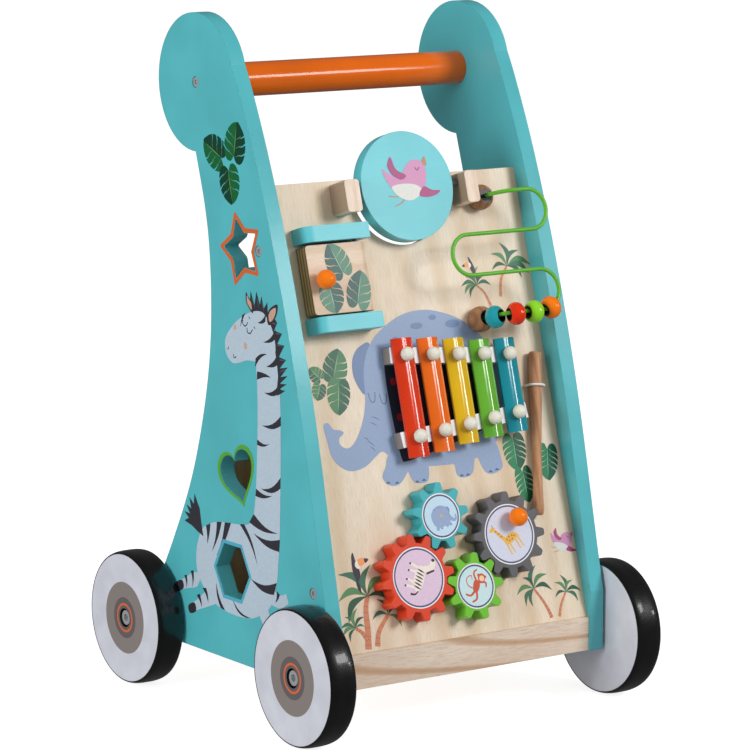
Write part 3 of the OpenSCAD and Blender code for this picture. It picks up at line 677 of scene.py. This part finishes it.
def leaf_group(greens, slits, *spots):
    """Several split leaves in the same greens, each spot with its base, tip and width."""
    shapes = []
    for base, tip, width in spots:
        shapes += split_leaf(base, tip, width, greens, slits)
    return shapes


# %% Palms
FROND_GREENS = ("#3f7058", "#5a8b5c", "#2e5c45")


def palm(width, trunk, tips):
    """A palm from the trunk's points, root first, and the tips of its fronds."""
    shapes = [("#cf8360", stroke(trunk, width, width * 0.62))]
    line = stroke(trunk, width * 1.04, width * 0.66)
    for i in range(1, len(line) // 2, 2):
        shapes.append(("#a0543a", stroke([line[i], line[-1 - i]], 0.35, 0.35)))
    crown = np.array(trunk[-1], float)
    for k, tip in enumerate(tips):
        gap = np.array(tip, float) - crown
        arch = np.linalg.norm(gap) * (-1 if gap[0] < 0 else 1)
        shapes.append((FROND_GREENS[k % 3], lens(crown, tip, 0.34 * arch, 0.13 * arch)))
    return shapes


print("a palm has", len(palm(2, [(0, 0), (0, 20)], [(-5, 20), (5, 20)])), "shapes")

# %% [markdown]
# ## The elephant and the small bird
#
# A friendly blue elephant stands behind the xylophone, with a dark blanket that makes the bright bars
# stand out. It is drawn once, from simple round shapes, and used again in small on a gear. The bird
# is a plump body with two wings, drawn once for the disc and again for the panel.


# %% Elephant
def elephant(blanket=True):
    """A plain walking elephant in the panel's own millimetres."""
    skin, shade, line = "#8fa3c4", "#6f86ad", "#4d5f88"
    body = [(10, 41), (-8, 40), (-24, 34), (-38, 25), (-47, 14), (-52, 0), (-53.5, -14), (-56, -26),
            (-61, -37), (-68, -47), (-75, -51.5), (-81, -49), (-81.5, -44), (-77, -40.5),
            (-80, -38), (-85, -37), (-89, -32), (-93, -34), (-92, -44), (-90, -56), (-84, -64),
            (-75, -68), (-63, -66), (-53, -60), (-46, -57), (-38, -64), (-22, -70), (0, -72),
            (20, -72), (38, -69), (52, -62), (62, -46), (66, -25), (66, -3), (60, 12), (50, 23),
            (40, 31), (27, 37)]
    legs = [[(-41, -60), (-46, -68), (-50, -75), (-46, -81), (-38, -82), (-31, -77), (-24, -66)],
            [(-28, -66), (-27, -74), (-24, -81), (-17, -83), (-11, -81), (-9, -72), (-11, -64)],
            [(13, -66), (14, -74), (15, -81), (21, -83), (28, -81), (31, -74), (32, -64)],
            [(34, -62), (36, -72), (40, -81), (47, -83), (55, -80), (56, -74), (52, -60)]]
    ear = [(-43, 20), (-51, 20), (-58, 14), (-61, 5), (-60, -5), (-54, -15), (-50, -4)]
    shapes = [(shade, curve(ear))]
    shapes += [(skin, curve(leg, 4)) for leg in legs]
    shapes.append((skin, curve(body)))
    shapes += [(shade, oval(x, y, a, b)) for x, y, a, b in
               ((15, 35, 3.4, 2), (0, 30, 5.6, 2.4), (32, 29, 6.6, 3), (-20, 22, 3, 1.8))]
    for x, y in ((-46, -79.6), (-38.5, -80.5), (-21, -81.6), (-15, -81), (18.5, -81.4), (24, -81.4),
                 (44.5, -81.2), (50.5, -80.4)):
        shapes.append((line, lens((x - 2, y - 0.6), (x + 2, y - 0.6), 1.6, 0)))
    for x, y in ((-48, -17), (-38.5, -19)):
        shapes.append((line, stroke([(x - 3, y + 3), (x - 1.6, y - 3.4), (x + 1.6, y - 3.4),
                                     (x + 3, y + 3)], 0.7, 0.7)))
    for a, b in (((-52, -31), (-44, -35)), ((-54, -35), (-47, -39)), ((-59, -48), (-52, -53)),
                 ((-57, -52), (-52, -57)), ((-61, -45), (-56, -49))):
        shapes.append((line, lens(a, b, 0.9, 0.3)))
    if blanket:
        cloth = [(-33, 6), (-30, 9), (10, 8), (57, 4), (58, -16), (57, -32), (51, -47), (30, -54),
                 (4, -60), (-14, -64), (-27, -66), (-31, -64), (-33, -44), (-34, -22), (-34, -6)]
        shapes.append(("#262c3c", curve(cloth, 4)))
        shapes += [("#a3242e", oval(x, y, 2.6, 2.8)) for x, y in ((-27, -34), (-28, -8))]
    return shapes


# %% Bird
def small_bird():
    """A plump flying bird, middle at the origin and about 46 mm wide."""
    pink, deep, cream, leg = "#cf8fb8", "#a8457c", "#dcdcd6", "#b98560"
    body = [(-4, 2), (1, 9), (8, 13), (15, 11), (18, 4), (16, -5), (11, -12), (2, -15), (-7, -13),
            (-14, -7), (-19, 2), (-20, 8), (-15, 4), (-9, 1)]
    return [
        (leg, stroke([(-4, -10), (-10, -13), (-18, -12)], 0.9, 0.7)),
        (leg, stroke([(-2, -14), (-8, -18), (-14, -20)], 0.9, 0.7)),
        (leg, curve([(15, 10), (18.4, 15), (19.5, 8)], 3)),
        (pink, curve(body)),
        (cream, curve([(-14, -6), (-5, -4), (6, -5), (12, -9), (8, -14), (0, -16.5), (-9, -13)])),
        (deep, curve([(-14, 13), (-11, 16), (-8, 7), (0, 2), (-5, -1), (-12, 3), (-15, 9)])),
        (deep, curve([(14, -7), (21, -10), (28, -11), (23, -14), (15, -15), (9, -13)])),
        ("#6d3056", stroke([(8.5, 7.5), (10.4, 5.2), (12.6, 7.2)], 0.8, 0.8)),
    ]


print("elephant shapes:", len(elephant()), "bird shapes:", len(small_bird()))

# %% [markdown]
# ## Pictures on the activity panel
#
# Everything on the panel is printed in one pass, so it is one picture. A perching bird sits on two of
# the palms. Under the door there is a small print too, which only shows when the door is open.


# %% The panel's picture
def perching_bird(flip=False):
    """A dark bird with a big bill, about 22 mm tall, with its feet at the origin."""
    return moved([
        ("#3b3440", curve([(-2, 0), (-4, 6), (-3.4, 13), (-1.6, 20), (0.4, 22), (0.8, 14), (2, 6)])),
        ("#3b3440", lens((-3, 3), (-2, -9), 1.4, -1.4)),
        ("#f1e9dd", oval(1.8, 12.5, 2.5, 3)),
        ("#f2a25c", curve([(2.6, 15.4), (6, 16.8), (9.4, 15), (9, 12.4), (5.4, 11), (2.8, 11.4)], 4)),
        ("#3b3440", curve([(8.6, 15.6), (12.4, 14), (8.8, 12)], 3)),
    ], flip=flip)


panel_print = moved(small_bird(), 0.5, -14, 98, -138) + elephant()
panel_print += leaf_group(("#31664f", "#4b8358", "#9db98a"), 3, ((-79, -3), (-70, 19), 19),
                          ((-74, -3), (-79, -27), 18), ((-89, -1), (-97, 8), 11),
                          ((-90, -4), (-95, -15), 11))
panel_print += leaf_group(("#0a5a40", "#158052", "#83b994"), 4, ((69, -57), (69, -83), 19),
                          ((99, -68), (95, -93), 17), ((73, -82), (74, -107), 15))
for width, trunk, tips in (
        (5.4, [(-85, -194), (-83, -179), (-82, -166), (-79, -157)],
         [(-101, -139), (-104, -158), (-98, -174), (-72, -135), (-60, -146), (-60, -164)]),
        (4.4, [(-77, -193), (-74, -183), (-64, -172)],
         [(-78, -174), (-54, -182), (-50, -168), (-72, -160)]),
        (3.4, [(-84, -189), (-88, -182), (-93, -178)],
         [(-106, -177), (-105, -183), (-99, -187), (-101, -169), (-89, -164), (-84, -171),
          (-85, -178)]),
        (2.8, [(78, -193), (76, -187), (72, -179), (66, -170)],
         [(71, -153), (80, -161), (82, -173), (57, -182), (50, -173), (57, -161), (63, -183)]),
        (2.4, [(85, -193), (88, -185), (94, -176)],
         [(91, -163), (102, -168), (108, -177), (104, -184), (85, -168), (84, -179)]),
        (2.6, [(79, 45), (82, 58), (89, 67)],
         [(85, 85), (76, 77), (75, 65), (102, 78), (111, 66), (101, 57), (108, 60)]),
        (2.2, [(69, 39), (65, 49), (59, 55)],
         [(45, 55), (47, 49), (52, 46), (72, 54), (63, 69), (70, 62), (50, 62)])):
    panel_print += palm(width, trunk, tips)
panel_print += moved(perching_bird(), 0.95, 8, -83, -146)
panel_print += moved(perching_bird(True), 0.62, 12, 58, 63)
panel_print += moved(small_bird(), 0.55, 0, -68, 66)
picture("print_panel", panel_print, lambda x, s: on_panel(x, s, PRINT_LIFT), SLOPE_OUT, "frame")

# %% [markdown]
# ## Pictures on the door, the disc and the gears
#
# Each of these rides on its own moving part. The gears wear round paper labels with a white edge, a
# navy ring and a little animal.

# %% Door and disc
door_print = leaf_group(("#3d625c", "#588872", "#a3c2a4"), 3, ((-64, 70), (-73, 93), 19),
                        ((-57, 47), (-49, 72), 19), ((-78, 64), (-76, 44), 19))
picture("print_door", door_print, lambda x, s: on_panel(x, s, GAME_FACE + PRINT_LIFT),
        SLOPE_OUT, "door_leaf")

DISC_BACK = 3.0
for side, w, outward in (("front", GAME_FACE + PRINT_LIFT, 1), ("back", DISC_BACK - PRINT_LIFT, -1)):
    picture(f"print_disc_{side}", moved(small_bird(), 1.0, 0, 3, 136, side == "back"),
            lambda x, s, w=w: on_panel(x, s, w), SLOPE_OUT * outward, "spinner")


# %% Small animals for the gear labels
def zebra_foal():
    """A little striped animal, about 26 mm long, facing right."""
    coat, stripe = "#efe2d6", "#3c2f33"
    shapes = [(coat, stroke([(x, -1), (x + lean, -11)], 2.4, 1.5)) for x, lean in
              ((-8, -1), (-5, 1.5), (4, -1), (7, 1.5))]
    shapes += [(coat, oval(-0.5, 0.5, 10, 4.6)), (coat, stroke([(6, 1), (9, 6), (11, 9)], 5.4, 4)),
               (coat, oval(13, 9.5, 4.4, 2.4)), (stripe, oval(16.6, 9, 1.2, 1.5)),
               (stripe, stroke([(5, 6), (7.4, 9), (9.6, 12)], 1.7, 1.5)),
               (stripe, stroke([(-10, 2), (-13, 0), (-14, -4)], 0.8, 1.8))]
    shapes += [(stripe, lens((x, 4.6), (x + 1.2, -3.4), 0.65, -0.65)) for x in
               (-8, -5.4, -2.8, -0.2, 2.4, 5)]
    shapes += [(stripe, stroke([(x, -10), (x + 1.6, -10)], 1.6, 1.6)) for x in (-10, -5, 2, 7.4)]
    return shapes


def giraffe_calf():
    """A little giraffe, about 26 mm tall, facing left."""
    coat, patch = "#e2b24a", "#b9772e"
    shapes = [(coat, stroke([(x, 0), (x + lean, -12)], 2.1, 1.2)) for x, lean in
              ((-4, -0.6), (-1.4, 0.8), (6, 0), (8.6, 1.6))]
    shapes += [(coat, oval(2, 0.6, 7.6, 4)), (coat, stroke([(-3, 1), (-7, 10), (-9, 15)], 4, 2.2)),
               (coat, oval(-10.6, 16, 3.4, 1.8)), (patch, stroke([(-9, 17), (-8.6, 20)], 0.8, 0.8)),
               (coat, stroke([(9, 2), (11, -3)], 0.8, 0.6))]
    shapes += [(patch, oval(x, y, 1.1, 0.9, 9)) for x, y in
               ((-2, 1.6), (1.2, 2.4), (4.4, 1.8), (0, -0.6), (3.2, -0.8), (6.6, 0.4), (-5.6, 6.6),
                (-6.8, 10), (-8, 13))]
    return shapes


def little_monkey():
    """A little swinging monkey, about 20 mm tall."""
    fur, face = "#c8502e", "#f0c9a2"
    return [(fur, stroke([(-1, -2), (-6, -1), (-8, 3), (-5, 6), (-3.6, 3.4)], 0.8, 0.6)),
            (fur, stroke([(0, 3), (-3, 8), (-1, 11)], 1.5, 1.1)),
            (fur, stroke([(2, 3), (7, 4), (8, 1)], 1.5, 1.1)),
            (fur, stroke([(0, -3), (-3, -7), (-7, -7)], 1.7, 1.2)),
            (fur, stroke([(1, -3), (2, -8), (-1, -11)], 1.7, 1.2)),
            (fur, curve([(-2, 3), (2, 4), (3, 0), (1.4, -4), (-1.6, -3.4)])),
            (fur, oval(3.4, 6.4, 3, 2.8)), (face, oval(3.7, 6, 2, 1.9)),
            (fur, oval(0.7, 7.6, 1, 1, 10)), (fur, oval(6.1, 7.6, 1, 1, 10))]


# %% Labels on the gears
small_elephant = moved(elephant(False), 0.135, 0, 0.4, 2, flip=True)
for colour, x, s, rim, paper, animal in (
        ("teal", -14.4, -108.6, 16.4, "#bcd8ea", moved(small_elephant, 1.0, 12)),
        ("red", -42.0, -149.7, 22.0, "#dcc0d7", moved(zebra_foal(), 0.95, -115, flip=True)),
        ("green", 6.0, -161.8, 16.4, "#c3dfe2", moved(little_monkey(), 1.1, -20)),
        ("grey", 42.75, -128.6, 22.0, "#cfd2e4", moved(giraffe_calf(), 0.85, 25, -1, -4))):
    label = [("#e8e8ec", oval(0, 0, rim, rim, 64)), ("#4a4d70", oval(0, 0, rim - 0.9, rim - 0.9, 64)),
             (paper, oval(0, 0, rim - 2.1, rim - 2.1, 64))] + animal
    if colour == "grey":
        label.append((None, oval(4.1, 11.2, 2.2, 2.2, 20)))
    if colour == "teal":
        label.append(("#c9a58e", oval(0.4, 0.2, 1.3, 1.3, 20)))
    picture(f"label_{colour}_gear", label,
            lambda u, v, x=x, s=s: on_panel(x + u, s + v, GAME_FACE + PRINT_LIFT),
            SLOPE_OUT, f"{colour}_gear")

# %% [markdown]
# ## The striped animal on the side boards
#
# A tall striped animal fills each side board, with jungle leaves above it. On the left board it goes
# round three posting holes, each with a coloured border: an orange star, a green heart and a blue
# hexagon. The board's own coordinates are y towards the rear and z up.


# %% Borders of the posting holes
STAR_MIDDLE = (-14, 338.8)
HEART_TIP = (-15, 155.6)
HEART_LEAN = math.radians(-21.8)
HEART_HALF = 21.3
HEXAGON_MIDDLE = (0, 102.8)


def star_outline(reach, waist, soft=0.0):
    """A five-pointed star with one point towards the rear, its points cut round by soft."""
    loop = []
    for i in range(10):
        steps = (-1, -0.4, 0.4, 1) if soft and i % 2 == 0 else (0,)
        for step in steps:
            radius = waist if i % 2 else reach - soft * step * step
            turn = math.tau * i / 10 + step * soft / reach
            loop.append((STAR_MIDDLE[0] + radius * math.cos(turn),
                         STAR_MIDDLE[1] + radius * math.sin(turn)))
    return loop


def heart_outline(grow, steps=48):
    """A leaning heart above its tip, pushed outwards by grow."""
    loop = []
    for i in range(steps):
        t = math.tau * i / steps
        u = HEART_HALF * math.sin(t) ** 3
        v = 1.045 * HEART_HALF / 16 * (13 * math.cos(t) - 4 * math.cos(2 * t)
                                       - 2 * math.cos(3 * t) - 0.6 * math.cos(4 * t) + 15.6)
        middle = HEART_HALF * 0.94
        u, v = u * (1 + grow / HEART_HALF), middle + (v - middle) * (1 + grow / HEART_HALF)
        loop.append((HEART_TIP[0] + u * math.cos(HEART_LEAN) - v * math.sin(HEART_LEAN),
                     HEART_TIP[1] + u * math.sin(HEART_LEAN) + v * math.cos(HEART_LEAN)))
    return loop


hole_borders = [
    ("#cf622d", star_outline(27.4, 16.8, 2.6)), (None, star_outline(23.2, 13.0)),
    ("#58a52e", heart_outline(3.6)), (None, heart_outline(0.25)),
    ("#4da9c0", oval(*HEXAGON_MIDDLE, 25.2, 25.2, 6)), (None, oval(*HEXAGON_MIDDLE, 22.2, 22.2, 6)),
]
print("borders:", len(hole_borders) // 2)


# %% The striped animal
def striped_animal():
    """A tall striped animal in the side board's millimetres, drawn from rounded shapes."""
    coat, dark, tan = "#b3c4d2", "#34313a", "#c69d8a"
    torso = [(-34, 262), (-34, 245), (-34.5, 222), (-33.5, 195), (-32, 172), (-30, 156), (-27, 146),
             (-19, 140.5), (2, 138), (18, 136.5), (30, 133), (41, 127), (48, 113), (49, 100),
             (45, 90), (35, 81), (24, 75), (12, 72), (-7, 71), (-26, 73), (-40, 79), (-50, 86),
             (-55, 96), (-59, 108), (-61, 125), (-62.5, 143), (-63.5, 174), (-64, 209), (-63.5, 238),
             (-60, 262), (-50, 284)]
    head = [(-28, 296), (-17, 292), (-5, 285), (5, 276), (8, 269), (6, 261), (-2, 256), (-12, 257.5),
            (-20, 260), (-32, 261), (-48, 263), (-57, 269), (-57, 279), (-52, 289), (-44, 296),
            (-37, 297.5)]
    shapes = [
        (coat, curve([(44, 92), (52, 93), (66, 86), (78, 80), (76, 75), (62, 79), (48, 83)], 4)),
        (coat, curve([(34, 82), (48, 73), (60, 66.5), (58, 61.5), (46, 66), (32, 71), (22, 76)], 4)),
        (coat, stroke([(-40, 82), (-46, 72), (-52, 60)], 14, 7)),
        (coat, stroke([(-50, 94), (-62, 92), (-72, 96)], 12, 7)),
        (coat, curve(torso, 5)),
    ]
    top = [(-28, 295), (-20, 309), (-25, 301), (-26, 310.5), (-31, 301), (-33.5, 311), (-38, 302),
           (-40, 308.5), (-43, 300), (-47.5, 305), (-48, 298)]
    back = [(-52, 298), (-60, 292), (-56, 286), (-66, 285), (-60, 277), (-69, 277), (-62, 268),
            (-71, 267), (-63, 260), (-73, 262), (-64, 254), (-73, 256), (-63, 249), (-72, 250),
            (-62, 245), (-70, 245), (-60, 240)]
    inner = [(-41, 296), (-51, 289), (-55.5, 278), (-59, 266), (-61, 254), (-59, 243)]
    shapes += [(dark, top + back + inner[::-1]), (coat, curve(head, 5))]
    shapes += [("#67666f", lens(a, b, 0.3, -0.3, 4)) for a, b in (
        ((-26, 298), (-21.5, 306)), ((-32, 299), (-27, 307)), ((-37, 299), (-34, 307)),
        ((-43, 298), (-40.5, 305)), ((-53, 291), (-60, 291)), ((-56, 284), (-65, 284.6)),
        ((-58, 276), (-68, 276.4)), ((-60, 266), (-70, 266.4)), ((-62, 257), (-72, 261)))]
    for bend, tip, first, second in (
            (0.1, (-40, 216), (-64, 226), (-64, 219)), (-0.1, (-50, 204), (-33.6, 205), (-33.4, 201)),
            (0.12, (-38, 170), (-63.6, 182), (-63.4, 174)),
            (-0.08, (-53, 167), (-31.8, 169), (-31, 163.5)),
            (-0.08, (-60, 141), (-28.6, 150), (-22.6, 143)),
            (0.08, (-28, 136), (-62.4, 137), (-61.4, 128)),
            (0.1, (-24, 102), (-58.2, 105), (-54.6, 95.6)),
            (0.06, (34, 117), (35.6, 130.6), (29.4, 133.4)), (0.06, (28, 112), (20.6, 136), (14, 137)),
            (0.06, (22, 110), (10, 137.4), (1.6, 138.2)),
            (0.08, (-33, 113), (-10, 139.4), (-16, 140.4)),
            (0.1, (22, 91), (16.4, 72.8), (10, 71.8)), (0.14, (1, 83), (-18, 71.8), (-24.4, 72.8)),
            (0.1, (-42, 276), (-58, 287), (-59, 281)), (0.1, (-46, 259), (-62, 272), (-63, 264)),
            (0.12, (-43, 240), (-64, 250), (-64, 243)), (0.1, (-47, 268), (-32, 263), (-31.5, 257)),
            (0.05, (-52, 252), (-33.8, 254), (-33.8, 248)), (0.1, (-35, 289), (-46, 297), (-45, 291)),
            (0.0, (-12, 283), (-19, 294), (-15, 292))):
        shapes.append((dark, wedge(tip, first, second, bend)))
    shapes += [(dark, wedge(tip, first, second, 0.1)) for tip, first, second in (
        ((55, 81), (57, 93), (53, 94)), ((63, 79), (66, 88), (62.5, 89)),
        ((33, 73), (41, 83), (36, 84)), ((42, 68), (49, 76), (45, 78)),
        ((-43, 68), (-56, 73), (-54, 68)), ((-56, 90), (-62, 97), (-58, 99)))]
    shapes += [(dark, curve(hoof, 3)) for hoof in (
        [(69, 84), (78.5, 80), (76.5, 74.5), (67, 78)], [(52, 70), (60.5, 66.5), (58.5, 61), (50, 64)])]
    for ear in ([(-20, 309), (-23, 306), (-28, 302), (-29, 295), (-24, 298), (-20, 303)],
                [(-60, 305), (-60, 299), (-55, 292), (-49, 289), (-47, 295), (-51, 301)]):
        shapes += [(dark, curve(ear, 4)), (tan, shrunk(curve(ear, 4), 0.68))]
    shapes += [(tan, oval(-19, 270.2, 2, 2.6)), (tan, oval(-5.4, 282, 1.6, 2.2))]
    for line, width in (
            ([(-15.5, 288.4), (-16, 285.6), (-19.6, 284.8), (-22.2, 287.8)], 0.9),
            ([(-21.2, 283.6), (-21.8, 280.6), (-25.4, 280.2), (-28.4, 283.3)], 0.9),
            ([(-30, 285.8), (-31.8, 284)], 0.8), ([(-23.6, 292), (-25, 290.4)], 0.8),
            ([(-3, 262.4), (-4, 259.8), (-7, 261.2)], 0.8), ([(3, 266.8), (4.6, 264.6)], 0.8)):
        shapes.append((dark, stroke(line, width, width)))
    tail = [(39, 122), (42, 132), (44, 142), (47, 146), (51, 152), (52, 144), (58, 148), (55.5, 140),
            (62, 142), (57.5, 136), (65, 136.5), (59, 132.5), (65, 129.5), (55, 127.5), (46, 124)]
    shapes.append((dark, tail))
    return shapes


# %% Print both side boards
board_leaves = leaf_group(("#06402a", "#0d6335", "#6fa062"), 3, ((9, 401), (34.6, 412), 23),
                          ((-5, 402), (-9, 429), 25), ((3, 396), (-3, 370.4), 24))
picture("print_side_left", striped_animal() + board_leaves + hole_borders,
        lambda y, z: Vector((-BOARD_FACE - PRINT_LIFT, y, z)) * MM, Vector((-1, 0, 0)), "frame")
picture("print_side_right", striped_animal() + board_leaves,
        lambda y, z: Vector((BOARD_FACE + PRINT_LIFT, y, z)) * MM, Vector((1, 0, 0)), "frame")

# %% [markdown]
# ## Studio, light and camera
#
# The walker stands on plain pale paper that runs out into pure white. A white that bright would also
# fill every shadow, so the surround is only bright where the camera looks straight at it, and gives
# a weaker, even light to the walker itself. One large soft light stands in front on the right, so
# that shadows fall to the left of the gears and bars. A second one on the left lifts the side board.
# Two small ones are only seen as reflections: one makes a sheen at the top of the panel and a line
# along the handle, and the other draws the bright lines on the tone bars and the spots on the beads.
# The camera is far away with a long lens, which keeps the sides nearly parallel.


# %% Floor and surround
FLOOR_REACH = 9.0
FLOOR_GAP = 0.0002
AMBIENT = 0.42
MIRRORED_AMBIENT = 0.1


def studio_floor():
    """A round pale sheet under the wheels, kept out of the light that reaches the walker."""
    mesh = bpy.data.meshes.new("studio_floor")
    rim = [(x, y, -FLOOR_GAP) for x, y in oval(0, 0, FLOOR_REACH, FLOOR_REACH, 24)]
    mesh.from_pydata(rim, [], [list(range(len(rim)))])
    material, tree, shader = start_material("pale_paper", specular_ior_level=0.1,
                                            emission_color=(1, 1, 1, 1), emission_strength=0.86)
    place = add(tree, "TexCoord").outputs["Object"]
    tooth = add(tree, "TexNoise", {"Vector": place, "Scale": 300.0, "Detail": 3.0})
    colour = lay_over(tree, linear("#b4b4b4"), linear("#bcbcbc"), tooth, 0.3, 0.7)
    finish_surface(tree, shader, colour, tooth, 0.85, 0.95, 0.02, 0.02)
    mesh.materials.append(material)
    floor = bpy.data.objects.new("studio_floor", mesh)
    floor.visible_diffuse = False
    floor.visible_glossy = False
    bpy.context.scene.collection.objects.link(floor)
    return floor


studio_floor()
surround = bpy.data.worlds.new("white_surround")
surround.use_nodes = True
sky = surround.node_tree
ray = add(sky, "LightPath").outputs
lit = add(sky, "MapRange", {0: ray["Is Glossy Ray"], 1: 0.0, 2: 1.0, 3: AMBIENT,
                            4: MIRRORED_AMBIENT})
strength = add(sky, "MapRange", {0: ray["Is Camera Ray"], 1: 0.0, 2: 1.0, 3: lit, 4: 1.0})
sky.nodes["Background"].inputs["Color"].default_value = (1, 1, 1, 1)
sky.links.new(strength.outputs[0], sky.nodes["Background"].inputs["Strength"])
bpy.context.scene.world = surround


# %% Lights
def soft_light(name, place, aim, size, power, mirrored):
    """A square soft box. It either lights the surfaces, or is only mirrored in the shiny ones."""
    lamp = bpy.data.lights.new(name, "AREA")
    lamp.shape = "SQUARE"
    lamp.size = size
    lamp.energy = power
    stand = bpy.data.objects.new(name, lamp)
    stand.location = place
    stand.rotation_euler = (Vector(aim) - Vector(place)).to_track_quat("-Z", "Y").to_euler()
    stand.visible_glossy = mirrored
    stand.visible_diffuse = not mirrored
    bpy.context.scene.collection.objects.link(stand)
    return stand


soft_light("key_light", (1.35, -2.35, 1.75), (0, 0, 0.25), 0.9, 56, False)
soft_light("left_light", (-2.85, -0.4, 0.9), (0, 0, 0.25), 1.2, 52, False)
soft_light("sheen_light", (0.81, -1.27, 0.87), (-0.09, -0.03, 0.4), 0.35, 4.0, True)
soft_light("line_light", (1.96, -1.86, 0.9), (0.02, -0.11, 0.21), 0.22, 2.6, True)

# %% Camera
camera_data = bpy.data.cameras.new("camera")
camera_data.sensor_width = 36
camera_data.lens = 176.6
camera = bpy.data.objects.new("camera", camera_data)
azimuth, elevation, distance = math.radians(-34.90), math.radians(9.43), 2.703
look_at = Vector((0, -0.00498, 0.23586))
away = Vector((math.sin(azimuth) * math.cos(elevation), -math.cos(azimuth) * math.cos(elevation),
               math.sin(elevation)))
camera.location = look_at + away * distance
camera.rotation_euler = (-away).to_track_quat("-Z", "Y").to_euler()
camera_data.clip_end = 50
bpy.context.scene.collection.objects.link(camera)
bpy.context.scene.camera = camera
bpy.context.scene.view_settings.view_transform = "Standard"
print("camera at", tuple(round(v, 3) for v in camera.location))
